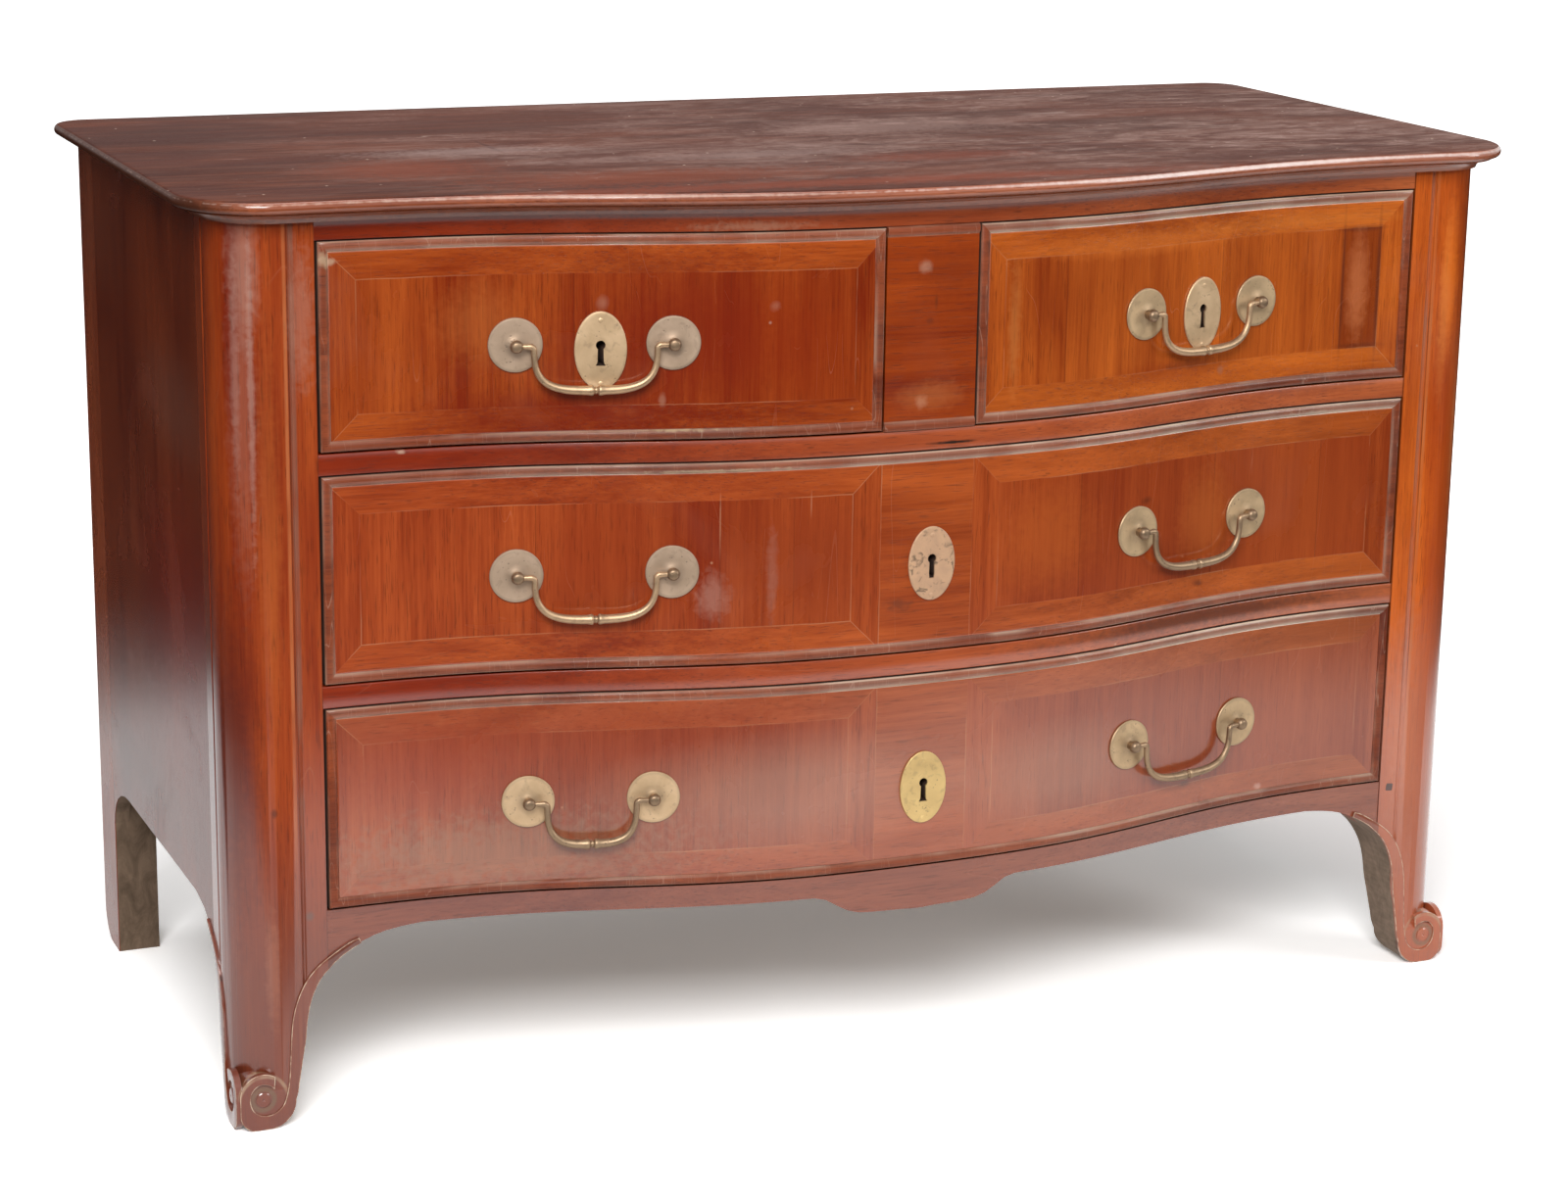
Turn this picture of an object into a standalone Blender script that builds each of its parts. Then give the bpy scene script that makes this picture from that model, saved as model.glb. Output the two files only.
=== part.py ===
"""A serpentine commode chest: two short drawers over two long ones, on scrolled front feet.

Lengths are in metres, with X to the right, Y to the back and Z up. The case is drawn from the flat
faces of its front stiles, and one empty then stands it with its footprint's centre at the origin.
"""

import math

import bmesh
import bpy
from mathutils import Matrix, Vector

# Clearances between the pieces
GAP = 0.0003
SEAT_GAP = 0.0006
SEAT_STEPS = 8
CUT_OVERRUN = 0.010

# The case and its serpentine front
CASE_WIDTH = 1.280
CASE_DEPTH = 0.5636
CASE_HEIGHT = 0.830
FRONT_SWELL = 0.073
THIRD_WAVE_SHARE = 0.064
FRONT_STEPS = 28

# The moulded top
TOP_THICKNESS = 0.0215
TOP_SIDE_OVERHANG = 0.0265
TOP_FRONT_OVERHANG = 0.032
TOP_BACK_OVERHANG = 0.0165
TOP_BACK_RADIUS = 0.038
TOP_NOSE_RADIUS = 0.0055
TOP_QUIRK_DEPTH = 0.003
TOP_QUIRK_HEIGHT = 0.002
TOP_COVE_WIDTH = 0.015
TOP_CORNER_STEPS = 8
TOP_NOSE_STEPS = 6
TOP_COVE_STEPS = 3

# The front stiles and the feet that they end in
STILE_WIDTH = 0.086
STILE_DEPTH = 0.077
STILE_ROUND_RADIUS = 0.050
STILE_ROUND_STEPS = 10
QUIRK_WIDTH = 0.005
QUIRK_DEPTH = 0.0022
FRONT_QUIRK_SETBACK = 0.012
SIDE_QUIRK_SETBACK = 0.0015
FRONT_ARCH_SPAN = 0.172
FRONT_ARCH_RISE = 0.182
SIDE_ARCH_SPAN = 0.146
SIDE_ARCH_RISE = 0.186
# The foot's inner edge, from the floor up: shares of the arch's span inward and of its rise
ARCH_EDGE_SHARES = (
    (0.192, 0.000),
    (0.270, 0.070),
    (0.318, 0.160),
    (0.336, 0.255),
    (0.358, 0.380),
    (0.372, 0.460),
    (0.384, 0.564),
    (0.407, 0.663),
    (0.448, 0.749),
    (0.500, 0.810),
    (0.600, 0.888),
    (0.779, 0.967),
    (1.000, 1.000),
)
ARCH_POINTS_PER_STEP = 2
SCROLL_HEIGHT = 0.0545
SCROLL_WIDTH = 0.0535
SCROLL_TOP_RADIUS = 0.0210
SCROLL_OUTER_RADIUS = 0.0160
SCROLL_INNER_RADIUS = 0.0260
SCROLL_INNER_TOP = 0.0450
SCROLL_SIDE_SETBACK = 0.0015
SCROLL_FRONT_PROUD = 0.0008
SCROLL_SOLE_HEIGHT = 0.0080
SCROLL_START_DEG = -35
SCROLL_ARC_STEPS = 6
SCROLL_DEPTH_SHARE = 0.84

# The back posts, side panels and back boards
POST_WIDTH = 0.042
POST_DEPTH = 0.062
POST_HEEL_RADIUS = 0.034
POST_HEEL_STEPS = 6
SIDE_THICKNESS = 0.015
REAR_ARCH_SPAN = 0.070
REAR_ARCH_DROP = 0.046
REAR_ARCH_STEPS = 6
BACK_THICKNESS = 0.012
BACK_BOTTOM = 0.190
# The joint between the two back boards, as a share of the case's height
BACK_JOINT_SHARE = 0.6205

# The rails and the drawer openings, from the apron up
RAIL_DEPTH = 0.035
RAIL_SETBACK = 0.0010
APRON_TOP = 0.2029
MIDDLE_RAIL = 0.0205
UPPER_RAIL = 0.0194
TOP_RAIL = 0.0176
# How the height left between the rails is divided: the bottom, middle and top openings
OPENING_SHARES = (0.33304, 0.33620, 0.33076)
CENTRE_PANEL_WIDTH = 0.091
PANEL_GUIDE_HEIGHT = 0.026
DUST_BOARD_THICKNESS = 0.010
APRON_DROP = 0.022
APRON_DROP_HALF_WIDTH = 0.105
# The ogee drop in the apron's middle: shares of its half width and of its depth
APRON_DROP_SHARES = (
    (0.00, 1.00),
    (0.14, 0.93),
    (0.40, 0.90),
    (0.58, 0.84),
    (0.70, 0.66),
    (0.79, 0.41),
    (0.89, 0.12),
    (1.00, 0.00),
)

# The drawers
DRAWER_SIDE_CLEARANCE = 0.0025
DRAWER_TOP_CLEARANCE = 0.0010
DRAWER_BOTTOM_CLEARANCE = 0.0020
DRAWER_PANEL_CLEARANCE = 0.0020
DRAWER_BACK_ROOM = 0.0166
DRAWER_FRONT_THICKNESS = 0.024
DRAWER_SIDE_THICKNESS = 0.012
DRAWER_BACK_THICKNESS = 0.012
DRAWER_BOTTOM_THICKNESS = 0.008
DRAWER_BOTTOM_RAISE = 0.005
DRAWER_SIDE_DROP = 0.006
DRAWER_BACK_DROP = 0.014
BEAD_WIDTH = 0.0095
BEAD_HEIGHT = 0.0022
# The raised moulding round each drawer front: shares of its width inward and of its height
BEAD_SHARES = (
    (0.00, 0.30),
    (0.16, 0.90),
    (0.48, 1.00),
    (0.66, 0.35),
    (1.00, 0.00),
)

# The brasses
ROSETTE_RADIUS = 0.0245
ROSETTE_HEIGHT = 0.0036
# The rosette's turned face: shares of its radius and of its height
ROSETTE_SHARES = (
    (1.000, 0.00),
    (1.000, 0.18),
    (0.900, 0.36),
    (0.780, 0.36),
    (0.640, 0.76),
    (0.340, 1.00),
)
ROSETTE_SIDES = 16
POST_NECK_RADIUS = 0.0044
BALL_RADIUS = 0.0060
BALL_STANDOFF = 0.0095
BALL_STEPS = 5
PIN_RADIUS = 0.0022
PIN_CLEARANCE = 0.0005
PIN_END_CLEARANCE = 0.0008
PIN_HOLE_SIDES = 8
BAIL_HALF_WIDTH = 0.056
BAIL_DROP = 0.040
BAIL_CURVE_POWER = 2.7
BAIL_BEND_RADIUS = 0.0042
BAIL_END_RADIUS = 0.0026
BAIL_MIDDLE_RADIUS = 0.0042
BAIL_COLLAR_RADIUS = 0.0050
BAIL_COLLAR_HALF_WIDTH = 0.005
BAIL_CURVE_STEPS = 9
BAIL_BEND_STEPS = 3
BAIL_SIDES = 6
HANDLE_SPACING = 0.137
NARROW_HANDLE_SPACING = 0.112
ESCUTCHEON_HALF_WIDTH = 0.0235
ESCUTCHEON_HALF_HEIGHT = 0.0350
ESCUTCHEON_HEIGHT = 0.0020
# The escutcheon's face: shares of its outline and of its height
ESCUTCHEON_SHARES = (
    (1.00, 0.00),
    (1.00, 0.40),
    (0.93, 0.80),
    (0.82, 0.62),
    (0.66, 1.00),
)
ESCUTCHEON_SIDES = 24
KEYHOLE_RADIUS = 0.0037
KEYHOLE_RISE = 0.0046
KEYHOLE_SLOT_WIDTH = 0.0044
KEYHOLE_FOOT_WIDTH = 0.0072
KEYHOLE_SLOT_DROP = 0.0185
KEYHOLE_STEPS = 8

# Where the brasses sit: shares of the front's half width from its middle, or a distance from it
LEFT_HANDLE_OFFSET_SHARE = 0.55776
RIGHT_HANDLE_OFFSET_SHARE = 0.54513
LEFT_BOTTOM_HANDLE_OFFSET_SHARE = 0.56318
TOP_ESCUTCHEON_OFFSET_SHARE = 0.54783
MIDDLE_ESCUTCHEON_OFFSET = 0.005
BOTTOM_ESCUTCHEON_OFFSET = 0.002
# How high each brass sits in its opening, as a share of the opening's height
TOP_HANDLE_SHARE = 0.4777
MIDDLE_HANDLE_SHARE = 0.4747
BOTTOM_HANDLE_SHARE = 0.4644
TOP_ESCUTCHEON_SHARE = 0.4459
MIDDLE_ESCUTCHEON_SHARE = 0.4433
BOTTOM_ESCUTCHEON_SHARE = 0.4143

# Levels and widths that follow from the sizes above
CASE_HALF = CASE_WIDTH / 2
OPENING_HALF = CASE_HALF - STILE_WIDTH
PANEL_HALF = CENTRE_PANEL_WIDTH / 2
OPENING_ROOM = CASE_HEIGHT - TOP_RAIL - UPPER_RAIL - MIDDLE_RAIL - APRON_TOP
BOTTOM_OPENING, MIDDLE_OPENING, TOP_OPENING = (share * OPENING_ROOM for share in OPENING_SHARES)
BOTTOM_OPENING_TOP = APRON_TOP + BOTTOM_OPENING
MIDDLE_RAIL_TOP = BOTTOM_OPENING_TOP + MIDDLE_RAIL
MIDDLE_OPENING_TOP = MIDDLE_RAIL_TOP + MIDDLE_OPENING
UPPER_RAIL_TOP = MIDDLE_OPENING_TOP + UPPER_RAIL
TOP_OPENING_TOP = UPPER_RAIL_TOP + TOP_OPENING
CASE_TOP = CASE_HEIGHT - GAP
BACK_FACE = CASE_DEPTH - BACK_THICKNESS
BACK_JOINT_HEIGHT = CASE_HEIGHT * BACK_JOINT_SHARE
FOOTPRINT_FRONT = FRONT_SWELL + TOP_FRONT_OVERHANG
FOOTPRINT_BACK = CASE_DEPTH + TOP_BACK_OVERHANG
CASE_FRONT_Y = (FOOTPRINT_FRONT - FOOTPRINT_BACK) / 2

# Each drawer's name, its ends along X, the level it runs on, its opening's height, and its brasses
DRAWER_LENGTH = BACK_FACE - DRAWER_BACK_ROOM
LEFT_HANDLE_OFFSET = OPENING_HALF * LEFT_HANDLE_OFFSET_SHARE
RIGHT_HANDLE_OFFSET = OPENING_HALF * RIGHT_HANDLE_OFFSET_SHARE
LEFT_BOTTOM_HANDLE_OFFSET = OPENING_HALF * LEFT_BOTTOM_HANDLE_OFFSET_SHARE
TOP_ESCUTCHEON_OFFSET = OPENING_HALF * TOP_ESCUTCHEON_OFFSET_SHARE
TOP_HANDLE_HEIGHT = UPPER_RAIL_TOP + TOP_OPENING * TOP_HANDLE_SHARE
MIDDLE_HANDLE_HEIGHT = MIDDLE_RAIL_TOP + MIDDLE_OPENING * MIDDLE_HANDLE_SHARE
BOTTOM_HANDLE_HEIGHT = APRON_TOP + BOTTOM_OPENING * BOTTOM_HANDLE_SHARE
TOP_PLATE_HEIGHT = UPPER_RAIL_TOP + TOP_OPENING * TOP_ESCUTCHEON_SHARE
MIDDLE_PLATE_HEIGHT = MIDDLE_RAIL_TOP + MIDDLE_OPENING * MIDDLE_ESCUTCHEON_SHARE
BOTTOM_PLATE_HEIGHT = APRON_TOP + BOTTOM_OPENING * BOTTOM_ESCUTCHEON_SHARE
TOP_DRAWER_OUTER = OPENING_HALF - DRAWER_SIDE_CLEARANCE
TOP_DRAWER_INNER = PANEL_HALF + DRAWER_PANEL_CLEARANCE
DRAWERS = (
    ("left_drawer", -TOP_DRAWER_OUTER, -TOP_DRAWER_INNER, UPPER_RAIL_TOP, TOP_OPENING),
    ("right_drawer", TOP_DRAWER_INNER, TOP_DRAWER_OUTER, UPPER_RAIL_TOP, TOP_OPENING),
    ("middle_drawer", -TOP_DRAWER_OUTER, TOP_DRAWER_OUTER, MIDDLE_RAIL_TOP, MIDDLE_OPENING),
    ("bottom_drawer", -TOP_DRAWER_OUTER, TOP_DRAWER_OUTER, APRON_TOP, BOTTOM_OPENING),
)
HANDLES = (
    ("top_left", "left_drawer", -LEFT_HANDLE_OFFSET, TOP_HANDLE_HEIGHT, HANDLE_SPACING),
    ("top_right", "right_drawer", RIGHT_HANDLE_OFFSET, TOP_HANDLE_HEIGHT, HANDLE_SPACING),
    ("middle_left", "middle_drawer", -LEFT_HANDLE_OFFSET, MIDDLE_HANDLE_HEIGHT, HANDLE_SPACING),
    ("middle_right", "middle_drawer", RIGHT_HANDLE_OFFSET, MIDDLE_HANDLE_HEIGHT, HANDLE_SPACING),
    ("bottom_left", "bottom_drawer", -LEFT_BOTTOM_HANDLE_OFFSET, BOTTOM_HANDLE_HEIGHT,
     NARROW_HANDLE_SPACING),
    ("bottom_right", "bottom_drawer", RIGHT_HANDLE_OFFSET, BOTTOM_HANDLE_HEIGHT, HANDLE_SPACING),
)
ESCUTCHEONS = (
    ("top_left", "left_drawer", -TOP_ESCUTCHEON_OFFSET, TOP_PLATE_HEIGHT),
    ("top_right", "right_drawer", TOP_ESCUTCHEON_OFFSET, TOP_PLATE_HEIGHT),
    ("middle", "middle_drawer", MIDDLE_ESCUTCHEON_OFFSET, MIDDLE_PLATE_HEIGHT),
    ("bottom", "bottom_drawer", BOTTOM_ESCUTCHEON_OFFSET, BOTTOM_PLATE_HEIGHT),
)


def clear_scene():
    for old in list(bpy.data.objects):
        bpy.data.objects.remove(old, do_unlink=True)


def make_material(name, colour, roughness, metallic):
    material = bpy.data.materials.new(name)
    material.use_nodes = True
    shader = material.node_tree.nodes["Principled BSDF"]
    shader.inputs["Base Color"].default_value = (*colour, 1)
    shader.inputs["Roughness"].default_value = roughness
    shader.inputs["Metallic"].default_value = metallic
    return material


def front_line(x):
    """The serpentine front's Y at a place along X: nothing at the stiles, most at the middle."""
    share = min(1, abs(x) / OPENING_HALF)
    first_wave = 1 + math.cos(math.pi * share)
    third_wave = 1 + math.cos(3 * math.pi * share)
    wave = (first_wave - THIRD_WAVE_SHARE * third_wave) / (2 * (1 - THIRD_WAVE_SHARE))
    return -FRONT_SWELL * wave


def front_slope(x):
    """How fast the serpentine front's Y changes along X."""
    if abs(x) >= OPENING_HALF:
        return 0
    share = x / OPENING_HALF
    first_wave = math.sin(math.pi * share)
    third_wave = 3 * math.sin(3 * math.pi * share)
    wave = (first_wave - THIRD_WAVE_SHARE * third_wave) / (2 * (1 - THIRD_WAVE_SHARE))
    return FRONT_SWELL * math.pi / OPENING_HALF * wave


def along_shares(shares, place):
    """Reads a table of shares at a place between its first and last entry."""
    for (low, low_value), (high, high_value) in zip(shares, shares[1:]):
        if place <= high:
            return low_value + (high_value - low_value) * (place - low) / (high - low)
    return shares[-1][1]


def smooth_curve(points, steps):
    """A Catmull-Rom curve through points of any dimension, with steps pieces between each two."""
    curve = []
    for index in range(len(points) - 1):
        before = points[max(index - 1, 0)]
        start, end = points[index], points[index + 1]
        after = points[min(index + 2, len(points) - 1)]
        for step in range(steps):
            t = step / steps
            curve.append(tuple(
                (2 * b + (c - a) * t + (2 * a - 5 * b + 4 * c - d) * t * t
                 + (3 * b - a - 3 * c + d) * t ** 3) / 2
                for a, b, c, d in zip(before, start, end, after)))
    curve.append(tuple(points[-1]))
    return curve


def loft(rings):
    """Joins rings of points with faces and closes both ends, as one closed mesh."""
    shape = bmesh.new()
    rows = [[shape.verts.new(point) for point in ring] for ring in rings]
    for lower, upper in zip(rows, rows[1:]):
        for index in range(len(lower)):
            after = (index + 1) % len(lower)
            shape.faces.new((lower[index], lower[after], upper[after], upper[index]))
    shape.faces.new(list(reversed(rows[0])))
    shape.faces.new(rows[-1])
    bmesh.ops.recalc_face_normals(shape, faces=shape.faces)
    mesh = bpy.data.meshes.new("shape")
    shape.to_mesh(mesh)
    shape.free()
    return mesh


def prism(axis, outline, low, high):
    """An outline in the two other axes, pushed from low to high along the named axis."""
    slot = "XYZ".index(axis)
    rings = []
    for level in (low, high):
        ring = []
        for point in outline:
            place = list(point)
            place.insert(slot, level)
            ring.append(place)
        rings.append(ring)
    return loft(rings)


def box(low, high):
    outline = ((low[0], low[1]), (high[0], low[1]), (high[0], high[1]), (low[0], high[1]))
    return prism("Z", outline, low[2], high[2])


def combined(first, second, operation):
    """The two meshes joined, cut or intersected as one new mesh."""
    body = bpy.data.objects.new("body", first)
    tool = bpy.data.objects.new("tool", second)
    for piece in (body, tool):
        bpy.context.collection.objects.link(piece)
    change = body.modifiers.new("change", "BOOLEAN")
    change.operation = operation
    change.solver = "EXACT"
    change.object = tool
    depsgraph = bpy.context.evaluated_depsgraph_get()
    result = bpy.data.meshes.new_from_object(body.evaluated_get(depsgraph))
    for piece in (body, tool):
        bpy.data.objects.remove(piece, do_unlink=True)
    return result


def mirrored(mesh):
    """A copy of the mesh on the other side of the chest's middle."""
    copy = mesh.copy()
    copy.transform(Matrix.Scale(-1, 4, (1, 0, 0)))
    copy.flip_normals()
    return copy


def empty(name, parent, location):
    holder = bpy.data.objects.new(name, None)
    bpy.context.collection.objects.link(holder)
    holder.parent = parent
    holder.location = location
    return holder


def add_piece(name, mesh, material, parent, location=(0, 0, 0), turn=0, smooth=False):
    """Puts a mesh in the scene as one named piece of one material, turned about Z if asked."""
    piece = bpy.data.objects.new(name, mesh)
    bpy.context.collection.objects.link(piece)
    mesh.name = name
    mesh.materials.clear()
    mesh.materials.append(material)
    if smooth:
        mesh.shade_smooth()
        mesh.set_sharp_from_angle(angle=math.radians(35))
    piece.parent = parent
    piece.location = location
    piece.rotation_euler = (0, 0, turn)
    return piece


def front_board(x_places, z_places, front_y, back_y):
    """A board built in slices along X, whose two faces may both curve."""
    rings = []
    for x in x_places:
        ring = [(x, back_y(x), z_places[0])]
        for z in z_places:
            ring.append((x, front_y(x, z), z))
        ring.append((x, back_y(x), z_places[-1]))
        rings.append(ring)
    return loft(rings)


def evenly(low, high, steps):
    return [low + (high - low) * index / steps for index in range(steps + 1)]


def front_steps(low, high):
    """How many slices a stretch of the front gets, so that its curve stays even."""
    return max(2, round(FRONT_STEPS * (high - low) / (2 * OPENING_HALF)))


def bead_places(low, high, steps):
    """Places between two edges, close together where the raised moulding runs."""
    inward = [share * BEAD_WIDTH for share, _ in BEAD_SHARES]
    middle = evenly(low + BEAD_WIDTH, high - BEAD_WIDTH, steps)[1:-1]
    return [low + step for step in inward] + middle + [high - step for step in reversed(inward)]


def bead_height(distance):
    """How far the raised moulding stands out at a distance from its edge."""
    return BEAD_HEIGHT * along_shares(BEAD_SHARES, min(1, distance / BEAD_WIDTH))


def top_outline(inset):
    """The top's outline seen from above, drawn in from its widest by an inset."""
    front = TOP_FRONT_OVERHANG - inset
    side = TOP_SIDE_OVERHANG - inset
    back = TOP_BACK_OVERHANG - inset
    half = []
    for x in evenly(0, OPENING_HALF, FRONT_STEPS // 2):
        normal = Vector((front_slope(x), -1)).normalized()
        half.append((x + normal.x * front, front_line(x) + normal.y * front))
    centre = CASE_HALF - STILE_ROUND_RADIUS
    for turn in evenly(-math.pi / 2, 0, TOP_CORNER_STEPS):
        half.append((centre + (STILE_ROUND_RADIUS + side) * math.cos(turn),
                     STILE_ROUND_RADIUS + (STILE_ROUND_RADIUS + front) * math.sin(turn)))
    radius = TOP_BACK_RADIUS - inset
    for turn in evenly(0, math.pi / 2, TOP_CORNER_STEPS // 2):
        half.append((CASE_HALF + side - radius + radius * math.cos(turn),
                     CASE_DEPTH + back - radius + radius * math.sin(turn)))
    other = [(-x, y) for x, y in reversed(half[1:])]
    return half + other


def make_top():
    """The top's slab: cove, quirk and half-round nose below one flat face."""
    profile = []
    nose_bottom = TOP_THICKNESS - 2 * TOP_NOSE_RADIUS
    cove_top = nose_bottom - TOP_QUIRK_HEIGHT
    cove_edge = TOP_NOSE_RADIUS + TOP_QUIRK_DEPTH
    for turn in evenly(math.pi / 2, 0, TOP_COVE_STEPS):
        profile.append((cove_edge + TOP_COVE_WIDTH * math.sin(turn), cove_top * math.cos(turn)))
    profile.append((cove_edge, nose_bottom))
    nose_centre = TOP_THICKNESS - TOP_NOSE_RADIUS
    for turn in evenly(-math.pi / 2, math.pi / 2, TOP_NOSE_STEPS):
        profile.append((TOP_NOSE_RADIUS * (1 - math.cos(turn)),
                        nose_centre + TOP_NOSE_RADIUS * math.sin(turn)))
    rings = []
    for inset, height in profile:
        rings.append([(x, y, CASE_HEIGHT + height) for x, y in top_outline(inset)])
    return loft(rings)


def arch_edge(span, rise):
    """The foot's inner edge as distances inward from the corner and heights."""
    points = [(inward * span, height * rise) for inward, height in ARCH_EDGE_SHARES]
    return smooth_curve(points, ARCH_POINTS_PER_STEP)


def arch_cutter(span, rise):
    """The outline of what the arch takes away beside a foot."""
    edge = arch_edge(span, rise)
    return edge + [(span + CUT_OVERRUN, rise), (span + CUT_OVERRUN, -CUT_OVERRUN),
                   (edge[0][0], -CUT_OVERRUN)]


def scroll_outline(width, outer):
    """A volute's outline from the top of its curl, out and down to the sole, and up its inner side.

    Points are distances inward from the corner, starting at outer, and heights.
    """
    top_radius = SCROLL_TOP_RADIUS
    inner_radius = SCROLL_INNER_RADIUS * width / SCROLL_WIDTH
    arcs = (
        (outer + top_radius, SCROLL_HEIGHT - top_radius, top_radius, SCROLL_START_DEG, 90),
        (outer + SCROLL_OUTER_RADIUS, SCROLL_OUTER_RADIUS, SCROLL_OUTER_RADIUS, 90, 180),
        (width - inner_radius, inner_radius, inner_radius, 180, 270),
    )
    outline = []
    for inward, height, radius, start, end in arcs:
        for degrees in evenly(start, end, SCROLL_ARC_STEPS):
            turn = math.radians(degrees)
            outline.append((inward - radius * math.sin(turn), height + radius * math.cos(turn)))
    outline.append((width, SCROLL_INNER_TOP))
    return outline


def make_scroll():
    """The square-cornered scroll under the right ankle: one volute cut from the front and the side."""
    front = [(CASE_HALF - inward, height)
             for inward, height in scroll_outline(SCROLL_WIDTH, SCROLL_SIDE_SETBACK)]
    side = scroll_outline(SCROLL_WIDTH * SCROLL_DEPTH_SHARE, -SCROLL_FRONT_PROUD)
    from_front = prism("Y", front, -CUT_OVERRUN, STILE_DEPTH)
    from_side = prism("X", side, OPENING_HALF, CASE_HALF + CUT_OVERRUN)
    return combined(from_front, from_side, "INTERSECT")


def stile_outline():
    """The right front stile's plan: flat strips, a quirk on each face and the rounded corner."""
    left = OPENING_HALF
    centre = CASE_HALF - STILE_ROUND_RADIUS
    front_quirk = centre - FRONT_QUIRK_SETBACK
    side_quirk = STILE_ROUND_RADIUS + SIDE_QUIRK_SETBACK
    outline = [(left, STILE_DEPTH), (left, 0), (front_quirk - QUIRK_WIDTH, 0),
               (front_quirk - QUIRK_WIDTH / 2, QUIRK_DEPTH), (front_quirk, 0)]
    for turn in evenly(-math.pi / 2, 0, STILE_ROUND_STEPS):
        outline.append((centre + STILE_ROUND_RADIUS * math.cos(turn),
                        STILE_ROUND_RADIUS + STILE_ROUND_RADIUS * math.sin(turn)))
    outline += [(CASE_HALF, side_quirk), (CASE_HALF - QUIRK_DEPTH, side_quirk + QUIRK_WIDTH / 2),
                (CASE_HALF, side_quirk + QUIRK_WIDTH), (CASE_HALF, STILE_DEPTH)]
    return outline


def make_front_stile():
    """The right front stile: a moulded post that both arches narrow to an ankle above its scroll."""
    column = prism("Z", stile_outline(), SCROLL_SOLE_HEIGHT, CASE_TOP)
    front = [(CASE_HALF - inward, height)
             for inward, height in arch_cutter(FRONT_ARCH_SPAN, FRONT_ARCH_RISE)]
    side = arch_cutter(SIDE_ARCH_SPAN, SIDE_ARCH_RISE)
    from_front = prism("Y", front, -CUT_OVERRUN, STILE_DEPTH + CUT_OVERRUN)
    from_side = prism("X", side, OPENING_HALF - CUT_OVERRUN, CASE_HALF + CUT_OVERRUN)
    leg = combined(column, from_front, "DIFFERENCE")
    leg = combined(leg, from_side, "DIFFERENCE")
    return combined(leg, make_scroll(), "UNION")


def make_side_panel():
    """The right side panel, whose lower edge arches between the front foot and the back post."""
    front = STILE_DEPTH + GAP
    back = CASE_DEPTH - POST_DEPTH - GAP
    edge = [point for point in arch_edge(SIDE_ARCH_SPAN, SIDE_ARCH_RISE) if point[0] > front]
    start = along_shares(arch_edge(SIDE_ARCH_SPAN, SIDE_ARCH_RISE), front)
    outline = [(front, start)] + edge
    for turn in evenly(math.pi / 2, 0, REAR_ARCH_STEPS):
        outline.append((back - REAR_ARCH_SPAN * (1 - math.cos(turn)),
                        SIDE_ARCH_RISE - REAR_ARCH_DROP * (1 - math.sin(turn))))
    outline += [(back, CASE_TOP), (front, CASE_TOP)]
    return prism("X", outline, CASE_HALF - SIDE_THICKNESS, CASE_HALF)


def make_back_post():
    """The right back post, with its heel rounded off behind."""
    front = CASE_DEPTH - POST_DEPTH
    outline = [(front, CASE_TOP), (front, 0)]
    for turn in evenly(-math.pi / 2, 0, POST_HEEL_STEPS):
        outline.append((CASE_DEPTH - POST_HEEL_RADIUS * (1 - math.cos(turn)),
                        POST_HEEL_RADIUS * (1 + math.sin(turn))))
    outline.append((CASE_DEPTH, CASE_TOP))
    return prism("X", outline, CASE_HALF - POST_WIDTH, CASE_HALF)


def make_back_board(low, high):
    half = CASE_HALF - POST_WIDTH - GAP
    return box((-half, BACK_FACE, low), (half, CASE_DEPTH, high))


def make_rail(low, high):
    """A rail between the stiles: serpentine in front and straight behind."""
    half = OPENING_HALF - GAP
    return front_board(evenly(-half, half, FRONT_STEPS), (low, high),
                       lambda x, z: front_line(x) + RAIL_SETBACK, lambda x: RAIL_DEPTH)


def apron_bottom(x):
    """The apron's lower edge: the feet's arches at its ends and the ogee drop in its middle."""
    inward = CASE_HALF - abs(x)
    if inward < FRONT_ARCH_SPAN:
        return along_shares(arch_edge(FRONT_ARCH_SPAN, FRONT_ARCH_RISE), inward)
    if abs(x) < APRON_DROP_HALF_WIDTH:
        place = abs(x) / APRON_DROP_HALF_WIDTH
        return FRONT_ARCH_RISE - APRON_DROP * along_shares(APRON_DROP_SHARES, place)
    return FRONT_ARCH_RISE


def make_apron():
    """The apron: the lowest rail, shaped along its lower edge."""
    half = OPENING_HALF - GAP
    arch_start = CASE_HALF - FRONT_ARCH_SPAN
    places = [share * APRON_DROP_HALF_WIDTH for share, _ in APRON_DROP_SHARES]
    places += evenly(APRON_DROP_HALF_WIDTH, arch_start, front_steps(0, arch_start))[1:]
    ends = [CASE_HALF - inward for inward, _ in arch_edge(FRONT_ARCH_SPAN, FRONT_ARCH_RISE)]
    places += [x for x in reversed(ends) if arch_start < x < half]
    places.append(half)
    rings = []
    for x in [-x for x in reversed(places[1:])] + places:
        front = front_line(x) + RAIL_SETBACK
        low = apron_bottom(x)
        rings.append([(x, RAIL_DEPTH, low), (x, front, low),
                      (x, front, APRON_TOP), (x, RAIL_DEPTH, APRON_TOP)])
    return loft(rings)


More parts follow.
